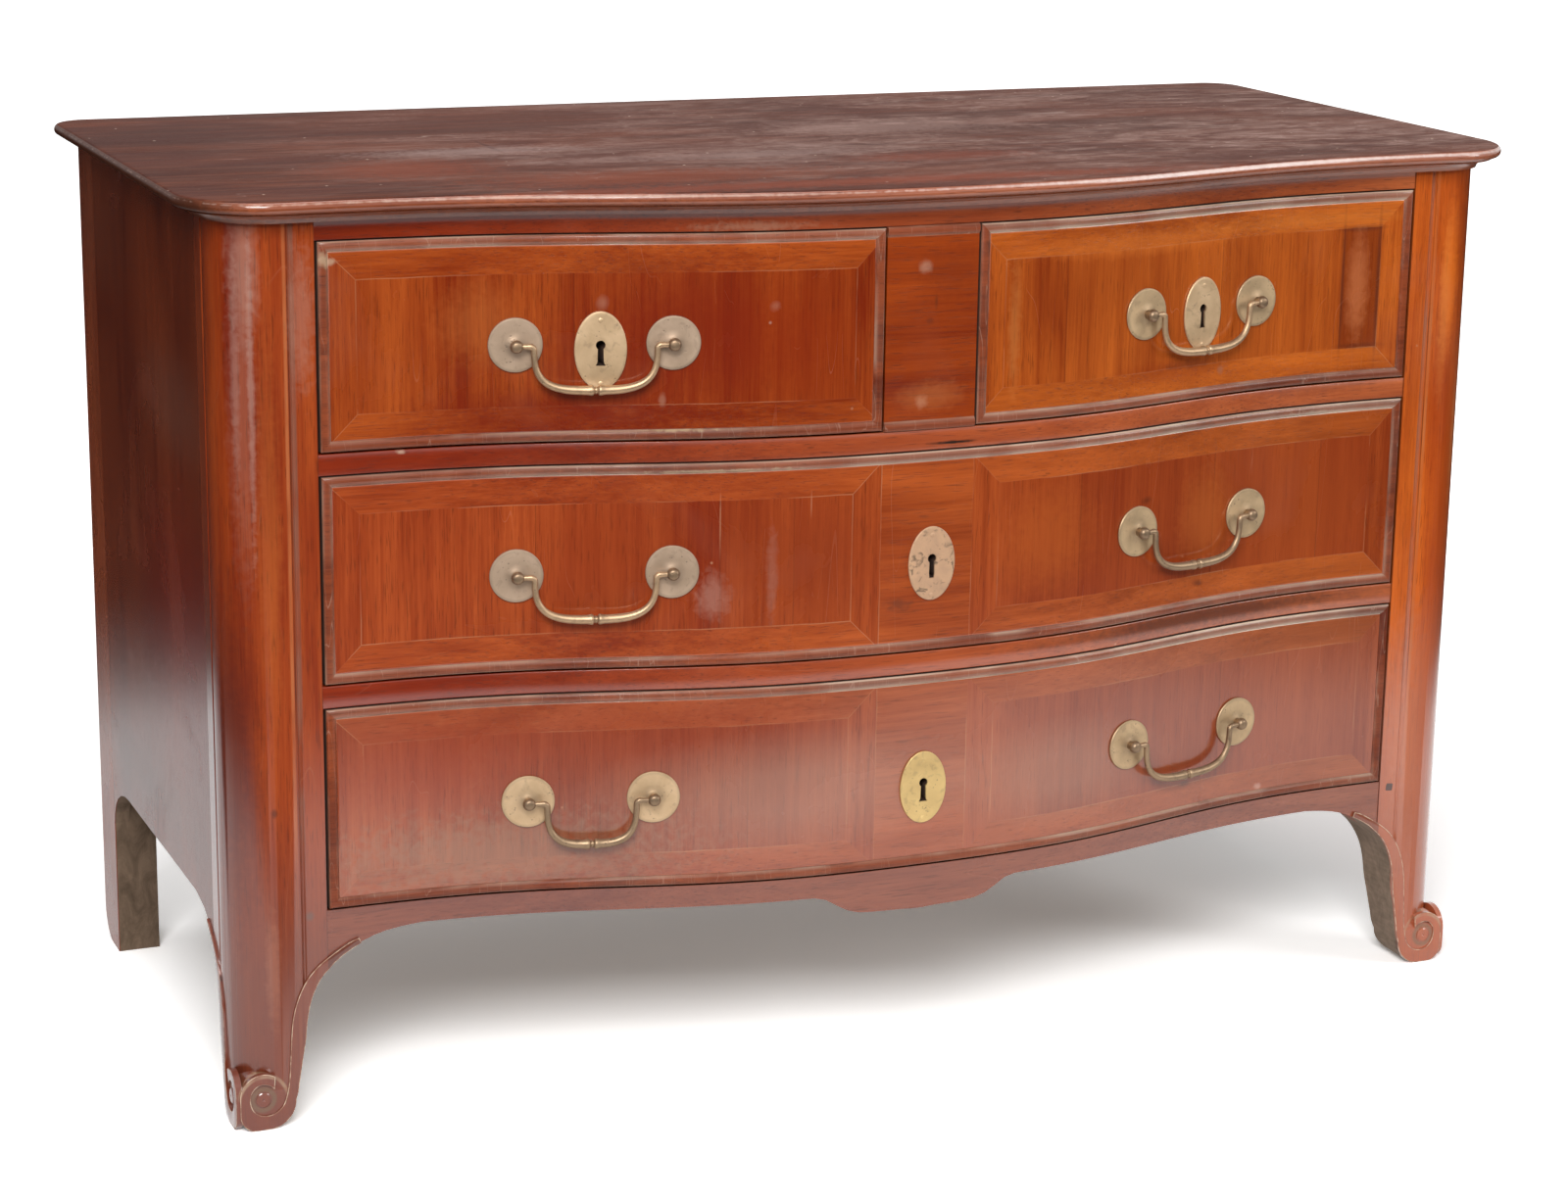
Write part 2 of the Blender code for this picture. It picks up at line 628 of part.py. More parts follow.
def make_centre_panel():
    """The fixed panel between the top drawers, moulded along its upper and lower edges."""
    low = UPPER_RAIL_TOP + GAP
    high = TOP_OPENING_TOP - GAP
    def face(x, z):
        return front_line(x) - bead_height(min(z - low, high - z))
    return front_board(evenly(-PANEL_HALF, PANEL_HALF, front_steps(-PANEL_HALF, PANEL_HALF)),
                       bead_places(low, high, 2), face, lambda x: RAIL_DEPTH)


def make_panel_guide():
    """The strip behind the fixed panel that both top drawers run beside."""
    return box((-PANEL_HALF, RAIL_DEPTH + GAP, UPPER_RAIL_TOP + GAP),
               (PANEL_HALF, BACK_FACE - GAP, UPPER_RAIL_TOP + PANEL_GUIDE_HEIGHT))


def make_dust_board(level):
    """A dust board behind a rail, whose upper face the drawers' sides run on."""
    half = OPENING_HALF - GAP
    return box((-half, RAIL_DEPTH + GAP, level - DUST_BOARD_THICKNESS), (half, BACK_FACE - GAP, level))


def make_case(parent, show_wood, inner_wood):
    pair = (
        ("front_stile", make_front_stile(), show_wood),
        ("back_post", make_back_post(), show_wood),
        ("side_panel", make_side_panel(), show_wood),
    )
    for name, mesh, material in pair:
        add_piece("left_" + name, mirrored(mesh), material, parent)
        add_piece("right_" + name, mesh, material, parent)
    add_piece("top", make_top(), show_wood, parent)
    add_piece("top_rail", make_rail(TOP_OPENING_TOP, CASE_TOP), show_wood, parent)
    add_piece("upper_rail", make_rail(MIDDLE_OPENING_TOP, UPPER_RAIL_TOP), show_wood, parent)
    add_piece("middle_rail", make_rail(BOTTOM_OPENING_TOP, MIDDLE_RAIL_TOP), show_wood, parent)
    add_piece("apron", make_apron(), show_wood, parent)
    add_piece("centre_panel", make_centre_panel(), show_wood, parent)
    add_piece("centre_guide", make_panel_guide(), inner_wood, parent)
    add_piece("upper_dust_board", make_dust_board(UPPER_RAIL_TOP), inner_wood, parent)
    add_piece("middle_dust_board", make_dust_board(MIDDLE_RAIL_TOP), inner_wood, parent)
    add_piece("lower_dust_board", make_dust_board(APRON_TOP), inner_wood, parent)
    add_piece("lower_back_board", make_back_board(BACK_BOTTOM, BACK_JOINT_HEIGHT), inner_wood, parent)
    add_piece("upper_back_board", make_back_board(BACK_JOINT_HEIGHT + GAP, CASE_TOP), inner_wood, parent)


def make_drawer(name, left, right, level, opening, parent, show_wood, inner_wood):
    """One drawer: a moulded serpentine front, two sides, a back and a bottom."""
    front_low = level + DRAWER_BOTTOM_CLEARANCE
    front_high = level + opening - DRAWER_TOP_CLEARANCE
    def face(x, z):
        edge = min(x - left, right - x, z - front_low, front_high - z)
        return front_line(x) - bead_height(edge)
    def inside(x):
        return front_line(x) + DRAWER_FRONT_THICKNESS
    steps = front_steps(left, right)
    front = front_board(bead_places(left, right, steps), bead_places(front_low, front_high, 1),
                        face, inside)
    add_piece(name + "_front", front, show_wood, parent)
    side_low = level + GAP
    side_high = front_high - DRAWER_SIDE_DROP
    for side, low, high in (("_left_side", left, left + DRAWER_SIDE_THICKNESS),
                            ("_right_side", right - DRAWER_SIDE_THICKNESS, right)):
        start = max(inside(low), inside(high)) + GAP
        add_piece(name + side, box((low, start, side_low), (high, DRAWER_LENGTH, side_high)),
                  inner_wood, parent)
    inner_left = left + DRAWER_SIDE_THICKNESS + GAP
    inner_right = right - DRAWER_SIDE_THICKNESS - GAP
    bottom_low = side_low + DRAWER_BOTTOM_RAISE
    bottom_high = bottom_low + DRAWER_BOTTOM_THICKNESS
    bottom_steps = front_steps(inner_left, inner_right)
    bottom = front_board(evenly(inner_left, inner_right, bottom_steps), (bottom_low, bottom_high),
                         lambda x, z: inside(x) + SEAT_GAP, lambda x: DRAWER_LENGTH)
    add_piece(name + "_bottom", bottom, inner_wood, parent)
    back = box((inner_left, DRAWER_LENGTH - DRAWER_BACK_THICKNESS, bottom_high + GAP),
               (inner_right, DRAWER_LENGTH, front_high - DRAWER_BACK_DROP))
    add_piece(name + "_back", back, inner_wood, parent)


def front_place(x, z, half_width, standoff=0):
    """Where a flat plate sits on the curved front, and the turn about Z that faces it squarely out.

    The place lies far enough off the front for the plate's whole width to clear the curve.
    """
    slope = front_slope(x)
    normal = Vector((slope, -1, 0)).normalized()
    middle = Vector((x, front_line(x), z))
    rises = [(Vector((x + step, front_line(x + step), z)) - middle).dot(normal)
             for step in evenly(-half_width, half_width, SEAT_STEPS)]
    return middle + (max(rises) + SEAT_GAP + standoff) * normal, math.atan(slope)


def circle(radius, sides, y):
    return [(radius * math.cos(2 * math.pi * index / sides), y,
             radius * math.sin(2 * math.pi * index / sides)) for index in range(sides)]


def make_handle_post(pin_side):
    """A rosette with its turned post and ball, drilled on one side for the bail's pin."""
    profile = [(share * ROSETTE_RADIUS, height * ROSETTE_HEIGHT) for share, height in ROSETTE_SHARES]
    neck_turn = math.asin(POST_NECK_RADIUS / BALL_RADIUS)
    profile.append((POST_NECK_RADIUS, ROSETTE_HEIGHT))
    for turn in evenly(math.pi - neck_turn, 0, BALL_STEPS)[:-1]:
        profile.append((BALL_RADIUS * math.sin(turn), BALL_STANDOFF + BALL_RADIUS * math.cos(turn)))
    profile.append((BALL_RADIUS * math.sin(neck_turn / 2),
                    BALL_STANDOFF + BALL_RADIUS * math.cos(neck_turn / 2)))
    rings = [circle(radius, ROSETTE_SIDES, -height) for radius, height in profile]
    post = loft(rings)
    hole_radius = (PIN_RADIUS + PIN_CLEARANCE) / math.cos(math.pi / PIN_HOLE_SIDES)
    hole = [(hole_radius * math.cos(turn) - BALL_STANDOFF, hole_radius * math.sin(turn))
            for turn in evenly(0, 2 * math.pi, PIN_HOLE_SIDES)[:-1]]
    reach = sorted((-pin_side * PIN_END_CLEARANCE, pin_side * (BALL_RADIUS + CUT_OVERRUN)))
    return combined(post, prism("X", hole, *reach), "DIFFERENCE")


def bail_radius(place):
    """The rod's radius at a distance along the handle from its middle."""
    if place < BAIL_COLLAR_HALF_WIDTH:
        ring = 0.5 + 0.5 * math.cos(4 * math.pi * place / BAIL_COLLAR_HALF_WIDTH)
        return BAIL_MIDDLE_RADIUS + (BAIL_COLLAR_RADIUS - BAIL_MIDDLE_RADIUS) * ring
    taper = min(1, (place - BAIL_COLLAR_HALF_WIDTH) / (BAIL_HALF_WIDTH - BAIL_COLLAR_HALF_WIDTH))
    return BAIL_MIDDLE_RADIUS + (BAIL_END_RADIUS - BAIL_MIDDLE_RADIUS) * taper


def make_bail(pin_tip):
    """A bail: two pins in line, and a swelling rod hung between them with a collar at its middle.

    It hangs from the axis of its pins, which is its own X axis.
    """
    half_width = BAIL_HALF_WIDTH * (pin_tip / (HANDLE_SPACING / 2))
    path = []
    collar_places = evenly(0, BAIL_COLLAR_HALF_WIDTH, 4)
    for x in collar_places:
        path.append((x, -BAIL_DROP, bail_radius(x)))
    start = math.pi / 2
    for index in range(1, BAIL_CURVE_STEPS + 1):
        turn = start * (1 - index / (BAIL_CURVE_STEPS + 1))
        x = half_width * math.cos(turn) ** (2 / BAIL_CURVE_POWER)
        z = -BAIL_DROP * math.sin(turn) ** (2 / BAIL_CURVE_POWER)
        if x > 2 * BAIL_COLLAR_HALF_WIDTH and z < -BAIL_BEND_RADIUS:
            path.append((x, z, bail_radius(x)))
    for turn in evenly(math.pi, math.pi / 2, BAIL_BEND_STEPS):
        path.append((half_width + BAIL_BEND_RADIUS * (1 + math.cos(turn)),
                     BAIL_BEND_RADIUS * (math.sin(turn) - 1), BAIL_END_RADIUS))
    path[-1] = (path[-1][0], 0, PIN_RADIUS)
    path.append((pin_tip, 0, PIN_RADIUS))
    whole = [(-x, z, radius) for x, z, radius in reversed(path[1:])] + path
    rings = []
    for index, (x, z, radius) in enumerate(whole):
        before = whole[max(index - 1, 0)]
        after = whole[min(index + 1, len(whole) - 1)]
        along = Vector((after[0] - before[0], 0, after[1] - before[1])).normalized()
        across = Vector((-along.z, 0, along.x))
        ring = []
        for side in range(BAIL_SIDES):
            turn = 2 * math.pi * (side + 0.5) / BAIL_SIDES
            ring.append(Vector((x, 0, z)) + radius * (math.cos(turn) * across
                                                      + math.sin(turn) * Vector((0, 1, 0))))
        rings.append(ring)
    return loft(rings)


def make_escutcheon():
    """An oval plate with a raised rim and a keyhole right through it."""
    rings = []
    for share, height in ESCUTCHEON_SHARES:
        ring = []
        for index in range(ESCUTCHEON_SIDES):
            turn = 2 * math.pi * index / ESCUTCHEON_SIDES
            ring.append((share * ESCUTCHEON_HALF_WIDTH * math.cos(turn), -height * ESCUTCHEON_HEIGHT,
                         share * ESCUTCHEON_HALF_HEIGHT * math.sin(turn)))
        rings.append(ring)
    slot_turn = math.asin(KEYHOLE_SLOT_WIDTH / 2 / KEYHOLE_RADIUS)
    foot_level = KEYHOLE_RISE - KEYHOLE_SLOT_DROP
    keyhole = [(-KEYHOLE_FOOT_WIDTH / 2, foot_level), (KEYHOLE_FOOT_WIDTH / 2, foot_level)]
    for turn in evenly(slot_turn - math.pi / 2, 3 * math.pi / 2 - slot_turn, KEYHOLE_STEPS):
        keyhole.append((KEYHOLE_RADIUS * math.cos(turn), KEYHOLE_RISE + KEYHOLE_RADIUS * math.sin(turn)))
    cutter = prism("Y", keyhole, -ESCUTCHEON_HEIGHT - CUT_OVERRUN, CUT_OVERRUN)
    return combined(loft(rings), cutter, "DIFFERENCE")


def add_handle(name, drawer, x, z, spacing, brass):
    """Two posts on a drawer front and the bail that hangs between their balls."""
    balls = []
    for side, pin_side in (("left", 1), ("right", -1)):
        place = x - pin_side * spacing / 2
        seat, turn = front_place(place, z, ROSETTE_RADIUS)
        add_piece(name + "_" + side + "_post", make_handle_post(pin_side), brass, drawer, seat, turn,
                  smooth=True)
        balls.append(front_place(place, z, ROSETTE_RADIUS, BALL_STANDOFF)[0])
    chord = balls[1] - balls[0]
    pivot = empty(name + "_pivot", drawer, (balls[0] + balls[1]) / 2)
    pivot.rotation_euler = (0, 0, math.atan2(chord.y, chord.x))
    bail = make_bail(chord.length / 2 - PIN_END_CLEARANCE)
    add_piece(name + "_bail", bail, brass, pivot, smooth=True)


def add_escutcheon(name, drawer, x, z, brass):
    seat, turn = front_place(x, z, ESCUTCHEON_HALF_WIDTH)
    add_piece(name + "_escutcheon", make_escutcheon(), brass, drawer, seat, turn, smooth=True)


clear_scene()
mahogany = make_material("mahogany", (0.23, 0.055, 0.018), 0.28, 0)
drawer_wood = make_material("drawer_wood", (0.36, 0.20, 0.10), 0.65, 0)
old_brass = make_material("old_brass", (0.42, 0.33, 0.17), 0.38, 1)
case = empty("case", None, (0, CASE_FRONT_Y, 0))
make_case(case, mahogany, drawer_wood)
holders = {}
for drawer_name, left_end, right_end, run_level, opening_height in DRAWERS:
    holders[drawer_name] = empty(drawer_name, case, (0, 0, 0))
    make_drawer(drawer_name, left_end, right_end, run_level, opening_height, holders[drawer_name],
                mahogany, drawer_wood)
for handle_name, drawer_name, middle, height, spacing_between in HANDLES:
    add_handle(handle_name, holders[drawer_name], middle, height, spacing_between, old_brass)
for plate_name, drawer_name, middle, height in ESCUTCHEONS:
    add_escutcheon(plate_name, holders[drawer_name], middle, height, old_brass)
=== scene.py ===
import math

import bmesh
import bpy
from mathutils import Matrix, Vector


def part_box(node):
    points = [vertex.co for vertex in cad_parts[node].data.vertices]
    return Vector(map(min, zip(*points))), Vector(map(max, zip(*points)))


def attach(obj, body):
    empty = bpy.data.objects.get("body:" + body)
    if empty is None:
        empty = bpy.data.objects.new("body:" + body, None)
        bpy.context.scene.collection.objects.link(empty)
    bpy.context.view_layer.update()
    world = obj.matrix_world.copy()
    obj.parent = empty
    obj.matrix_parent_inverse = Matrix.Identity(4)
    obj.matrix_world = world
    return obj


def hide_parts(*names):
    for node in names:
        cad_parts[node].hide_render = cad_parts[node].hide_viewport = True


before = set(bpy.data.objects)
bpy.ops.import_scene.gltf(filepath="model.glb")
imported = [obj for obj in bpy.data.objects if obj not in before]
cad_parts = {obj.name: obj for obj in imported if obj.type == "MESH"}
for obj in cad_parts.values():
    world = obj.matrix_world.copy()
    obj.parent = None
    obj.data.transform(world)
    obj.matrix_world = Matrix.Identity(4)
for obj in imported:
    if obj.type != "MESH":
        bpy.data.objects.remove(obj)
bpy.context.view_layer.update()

# Front stiles and feet. Each is one upright of solid mahogany, rounded at its outer corner between
# two shallow grooves. Both arches are sawn out of it down to an ankle, which ends in a square
# scroll. A low raised band runs down the inner edges of the foot and curls in round the scroll's eye.
FLAT_FRONT = -0.23755
CASE_HALF = 0.64
CASE_TOP = 0.8297
STILE_INNER = 0.554
STILE_DEPTH = 0.077
CORNER_RADIUS = 0.05
CORNER_CENTRE = CASE_HALF - CORNER_RADIUS
GROOVES = (0.0, 0.0009, 0.0019, 0.0022, 0.0019, 0.0009, 0.0)
SOLE = 0.008
FRONT_ARCH = (0.172, 0.182)
SIDE_ARCH = (0.146, 0.186)
ARCH_EDGE = (
    (0.192, 0.0), (0.27, 0.07), (0.318, 0.16), (0.336, 0.255), (0.358, 0.38),
    (0.372, 0.46), (0.384, 0.564), (0.407, 0.663), (0.448, 0.749), (0.5, 0.81),
    (0.6, 0.888), (0.779, 0.967), (1.0, 1.0))
# The raised band's inner line from the apron down to its end in the scroll: inward, height
BAND_LINE = (
    (0.115, 0.1742), (0.105, 0.1706), (0.0845, 0.158), (0.0724, 0.148), (0.063, 0.1355),
    (0.0554, 0.118), (0.0515, 0.101), (0.05, 0.085), (0.0488, 0.066), (0.0475, 0.047),
    (0.0458, 0.036), (0.0424, 0.024), (0.0365, 0.0172), (0.029, 0.0142), (0.0205, 0.015),
    (0.014, 0.02), (0.0112, 0.028), (0.012, 0.0365), (0.017, 0.0427), (0.0235, 0.0442),
    (0.03, 0.042), (0.0335, 0.0385))
BAND_PROUD = 0.0018
EYE = (0.0232, 0.0295)
EYE_RADIUS = 0.0072
SCROLL_WIDTH, SCROLL_INSET = 0.0535, 0.0015
SIDE_SHARE = 0.84
SAME_ROW = 0.00004


def evenly(low, high, steps):
    return [low + (high - low) * step / steps for step in range(steps + 1)]


def fair_curve(points, steps):
    """A smooth line through drawn points."""
    line = []
    for index in range(len(points) - 1):
        a, b = points[max(index - 1, 0)], points[index]
        c, d = points[index + 1], points[min(index + 2, len(points) - 1)]
        for step in range(steps):
            t = step / steps
            line.append(tuple(
                (2 * q + (r - p) * t + (2 * p - 5 * q + 4 * r - s) * t * t
                 + (3 * q - p - 3 * r + s) * t ** 3) / 2 for p, q, r, s in zip(a, b, c, d)))
    line.append(tuple(points[-1]))
    return line


def lay_down_tools():
    """Leaves edit mode with nothing selected."""
    if bpy.context.mode != "OBJECT":
        bpy.ops.object.mode_set(mode="OBJECT")
    bpy.ops.object.select_all(action="DESELECT")


def hold(piece):
    """Leaves edit mode with one piece selected."""
    lay_down_tools()
    bpy.context.view_layer.objects.active = piece
    piece.select_set(True)


def new_piece(make, **how):
    """Adds one of the plain shapes, with its size, turn and place made its own."""
    lay_down_tools()
    make(**how)
    bpy.ops.object.transform_apply()
    return bpy.context.active_object


def take_up(piece):
    """Opens one piece alone in edit mode, with nothing on it selected."""
    hold(piece)
    bpy.ops.object.mode_set(mode="EDIT")
    bpy.ops.mesh.select_all(action="DESELECT")


def pick(piece, kind, wanted):
    """Selects the points, edges or faces of a piece in edit mode that pass a test."""
    bpy.ops.mesh.select_mode(type={"verts": "VERT", "edges": "EDGE", "faces": "FACE"}[kind])
    bpy.ops.mesh.select_all(action="DESELECT")
    shape = bmesh.from_edit_mesh(piece.data)
    for part in getattr(shape, kind):
        if wanted(part):
            part.select_set(True)
    shape.select_flush_mode()
    bmesh.update_edit_mesh(piece.data)


def sawn_board(name, outline, thickness):
    """A board whose outline is drawn point by point, closed, filled and pulled out to a thickness."""
    board = new_piece(bpy.ops.mesh.primitive_plane_add, size=0.001, location=outline[0])
    board.name = name
    bpy.ops.object.mode_set(mode="EDIT")
    bpy.ops.mesh.select_mode(type="VERT")
    bpy.ops.mesh.select_all(action="SELECT")
    bpy.ops.mesh.merge(type="CENTER")
    for before, after in zip(outline, outline[1:]):
        step = Vector(after) - Vector(before)
        bpy.ops.mesh.extrude_region_move(TRANSFORM_OT_translate={"value": step})
    pick(board, "verts", lambda point: len(point.link_edges) == 1)
    bpy.ops.mesh.edge_face_add()
    bpy.ops.mesh.select_all(action="SELECT")
    bpy.ops.mesh.edge_face_add()
    bpy.ops.mesh.select_all(action="SELECT")
    bpy.ops.mesh.extrude_region_move(TRANSFORM_OT_translate={"value": thickness})
    bpy.ops.mesh.select_all(action="SELECT")
    bpy.ops.mesh.normals_make_consistent(inside=False)
    lay_down_tools()
    return board


def cut_with(piece, tool, operation="DIFFERENCE"):
    """Cuts a piece with another, or joins the two into one solid, and clears the other away."""
    hold(piece)
    bpy.ops.object.modifier_add(type="BOOLEAN")
    change = piece.modifiers[-1]
    change.operation = operation
    change.solver = "EXACT"
    change.object = tool
    bpy.ops.object.modifier_apply(modifier=change.name)
    bpy.data.objects.remove(tool, do_unlink=True)


def shift_rows(piece, axis, shift, wanted=lambda place: True):
    """Moves each row of points that share a place along an axis by the shift given for that place."""
    take_up(piece)
    rows = []
    for place in sorted(point.co[axis] for point in piece.data.vertices if wanted(point.co)):
        if not rows or place - rows[-1] > SAME_ROW:
            rows.append(place)
    for row in rows:
        move = Vector(shift(row))
        if move.length > 0.000005:
            pick(piece, "verts", lambda point: abs(point.co[axis] - row) < SAME_ROW and wanted(point.co))
            bpy.ops.transform.translate(value=move)
    lay_down_tools()


def smooth(piece, degrees=32):
    hold(piece)
    bpy.ops.object.shade_smooth_by_angle(angle=math.radians(degrees))


def join(main, *others):
    hold(main)
    for other in others:
        other.select_set(True)
    bpy.ops.object.join()
    return main


def cover(piece, *finishes):
    """Gives a piece its finishes, in the order of their numbers on its faces."""
    for finish in finishes:
        piece.data.materials.append(finish)


def twin(piece, name):
    """A copy of a piece with its own mesh, mirrored to the other side of the chest's middle."""
    hold(piece)
    bpy.ops.object.duplicate(linked=False)
    copy = bpy.context.active_object
    copy.name = name
    bpy.ops.transform.resize(value=(-1, 1, 1), center_override=(0, 0, 0))
    bpy.ops.object.transform_apply()
    bpy.ops.object.mode_set(mode="EDIT")
    bpy.ops.mesh.select_all(action="SELECT")
    bpy.ops.mesh.normals_make_consistent(inside=False)
    lay_down_tools()
    return copy


def stile_plan():
    """The right stile seen from above, from its inner back corner round the front."""
    plan = [(STILE_INNER, STILE_DEPTH), (STILE_INNER, 0), (0.5722, 0)]
    plan += [(x, depth) for x, depth in zip(evenly(0.573, 0.578, 6), GROOVES)]
    plan.append((0.5788, 0))
    for turn in evenly(-math.pi / 2, 0, 26):
        plan.append((CORNER_CENTRE + CORNER_RADIUS * math.cos(turn),
                     CORNER_RADIUS + CORNER_RADIUS * math.sin(turn)))
    plan += [(CASE_HALF - depth, y) for y, depth in zip(evenly(0.0515, 0.0565, 6), GROOVES)]
    plan += [(CASE_HALF, 0.0573), (CASE_HALF, STILE_DEPTH)]
    return plan


def arch_line(span, rise):
    """The sawn inner edge of a foot, as distances inward and heights from the floor up."""
    return fair_curve([(inward * span, height * rise) for inward, height in ARCH_EDGE], 4)


def scroll_line(width, outer):
    """The scroll's outline from its curl over the top, down outside, along the sole and up inside."""
    heel = 0.026 * width / SCROLL_WIDTH
    arcs = ((outer + 0.021, 0.0335, 0.021, -35, 90), (outer + 0.016, 0.016, 0.016, 90, 180),
            (width - heel, heel, heel, 180, 270))
    line = []
    for inward, height, radius, start, end in arcs:
        for turn in evenly(math.radians(start), math.radians(end), 12):
            line.append((inward - radius * math.sin(turn), height + radius * math.cos(turn)))
    line.append((width, 0.045))
    return line


def on_front(inward, height, y=0.0):
    return (CASE_HALF - inward, FLAT_FRONT + y, height)


def on_side(inward, height, x=CASE_HALF):
    return (x, FLAT_FRONT + inward, height)


def band_plan(span, rise, scale, drop):
    """The raised band's closed outline: the foot's own edge outside, and the groove's line inside."""
    edge = [(inward, height) for inward, height in arch_line(span, rise)
            if 0.032 < height and inward < 0.118 * scale]
    outer = [(inward - 0.0002, height) for inward, height in reversed(edge)]
    scroll = scroll_line(SCROLL_WIDTH * scale, SCROLL_INSET * drop)[::-1]
    outer += [(inward, max(height, 0.0003)) for inward, height in scroll if height < 0.03 or inward < 0.036]
    inner = [(inward * scale, height) for inward, height in fair_curve(BAND_LINE, 3)]
    return outer + inner[::-1]


def foot_eye(name, place, facing):
    """The turned eye in the middle of a scroll, with a small dimple."""
    turn = (math.pi / 2, 0, 0) if facing == "front" else (0, math.pi / 2, 0)
    eye = new_piece(bpy.ops.mesh.primitive_cylinder_add, vertices=40, radius=EYE_RADIUS, depth=0.006,
                    location=place, rotation=turn)
    eye.name = name
    take_up(eye)
    out = Vector((0, -1, 0)) if facing == "front" else Vector((1, 0, 0))
    pick(eye, "faces", lambda face: face.normal.dot(out) > 0.9)
    bpy.ops.mesh.inset(thickness=0.0009, depth=0.0006)
    bpy.ops.mesh.inset(thickness=0.005, depth=0.0002)
    bpy.ops.mesh.inset(thickness=0.0012, depth=-0.0007)
    bpy.ops.mesh.inset(thickness=0.0012, depth=-0.0004)
    lay_down_tools()
    return eye


def make_stile(finishes):
    """The right stile and foot, with its polish, its rough sawn faces and its bands' worn edges."""
    plan = [(x, FLAT_FRONT + y, SOLE) for x, y in stile_plan()]
    stile = sawn_board("right_stile_and_foot", plan, (0, 0, CASE_TOP - SOLE))
    for (span, rise), lay, start, through in ((FRONT_ARCH, on_front, -0.01, (0, 0.12, 0)),
                                              (SIDE_ARCH, on_side, STILE_INNER - 0.01, (0.12, 0, 0))):
        line = arch_line(span, rise)
        gap = line + [(span + 0.02, rise), (span + 0.02, -0.01), (line[0][0], -0.01)]
        cut_with(stile, sawn_board("saw", [lay(*point, start) for point in gap], through))
    front_line_down = scroll_line(SCROLL_WIDTH, SCROLL_INSET)
    side_line_down = scroll_line(SCROLL_WIDTH * SIDE_SHARE, -0.0008)
    scroll = sawn_board("scroll", [on_front(*point, -0.02) for point in front_line_down], (0, 0.09, 0))
    side = sawn_board("scroll_side", [on_side(*point, STILE_INNER) for point in side_line_down], (0.1, 0, 0))
    cut_with(scroll, side, "INTERSECT")
    cut_with(stile, scroll, "UNION")
    # The foot's faces that look under the chest are left rough from the saw
    cover(stile, *finishes)
    for face in stile.data.polygons:
        inward = face.normal.x < -0.25 or face.normal.y > 0.35 or face.normal.z < -0.6
        face.material_index = 1 if inward and face.center.z < 0.19 else 0
    smooth(stile)
    front_plan = [on_front(*point, 0.003) for point in band_plan(*FRONT_ARCH, 1, 1)]
    side_plan = [on_side(*point, CASE_HALF - 0.004) for point in band_plan(*SIDE_ARCH, SIDE_SHARE, -0.55)]
    front_band = sawn_board("front_band", front_plan, (0, -0.003 - BAND_PROUD, 0))
    side_band = sawn_board("side_band", side_plan, (0.004 + BAND_PROUD, 0, 0))
    take_up(side_band)
    for y in evenly(0.002, 0.05, 12):
        bpy.ops.mesh.select_all(action="SELECT")
        bpy.ops.mesh.bisect(plane_co=(0, FLAT_FRONT + y, 0), plane_no=(0, 1, 0))
    lay_down_tools()

    def round_in(y):
        back = max(0.0, CORNER_RADIUS - (y - FLAT_FRONT))
        return (math.sqrt(CORNER_RADIUS ** 2 - min(back, 0.04) ** 2) - CORNER_RADIUS, 0, 0)

    shift_rows(side_band, 1, round_in, lambda place: place.z > 0.056)
    bands = [front_band, side_band]
    for band, out in ((front_band, Vector((0, -1, 0))), (side_band, Vector((1, 0, 0)))):
        cover(band, *finishes)
        take_up(band)
        pick(band, "faces", lambda face: face.normal.dot(out) > 0.8)
        bpy.ops.mesh.inset(thickness=0.0007, depth=0.0002)
        bpy.ops.mesh.select_all(action="INVERT")
        lay_down_tools()
        for face in band.data.polygons:
            narrow = 0.2 < face.normal.dot(out) < 0.97 and face.area < 0.00002
            face.material_index = 2 if narrow else 0
        smooth(band, 40)
    bands.append(foot_eye("front_eye", (CASE_HALF - EYE[0], FLAT_FRONT + 0.0015, EYE[1]), "front"))
    bands.append(foot_eye("side_eye", (CASE_HALF - 0.0018, FLAT_FRONT + EYE[0] * SIDE_SHARE, EYE[1]), "side"))
    for eye in bands[2:]:
        cover(eye, finishes[0])
        smooth(eye, 30)
    return join(stile, *bands)


def fill(node, **values):
    """Sets a node's sockets by name or number, or joins them to others."""
    for key, value in values.items():
        socket = node.inputs[int(key[3:])] if key.startswith("in_") else node.inputs[key.replace("_", " ")]
        if isinstance(value, bpy.types.NodeSocket):
            node.id_data.links.new(value, socket)
        else:
            socket.default_value = (*value, 1) if socket.type == "RGBA" and len(value) == 3 else value
    return node


def tree_of(values):
    """The material or group to which the sockets among some values belong."""
    return next(value.id_data for value in values if isinstance(value, bpy.types.NodeSocket))


def wire(kind, **values):
    """Adds one node beside the sockets that it is joined to. Values named set_ are its own settings."""
    node = tree_of(values.values()).nodes.new("ShaderNode" + kind)
    for key in [key for key in values if key.startswith("set_")]:
        setattr(node, key[4:], values.pop(key))
    return fill(node, **values)


def sums(operation, *terms, clamp=False):
    """One step of arithmetic on sockets or numbers."""
    node = tree_of(terms).nodes.new("ShaderNodeMath")
    node.operation, node.use_clamp = operation, clamp
    return fill(node, **{"in_" + str(order): term for order, term in enumerate(terms)}).outputs[0]


def times(product, *factors):
    for factor in factors:
        product = sums("MULTIPLY", product, factor)
    return product


def scaled(value, factor, added, clamp=False):
    return sums("MULTIPLY_ADD", value, factor, added, clamp=clamp)


def apart(value, middle):
    """How far a value lies from a middle, to either side."""
    return sums("ABSOLUTE", sums("SUBTRACT", value, middle))


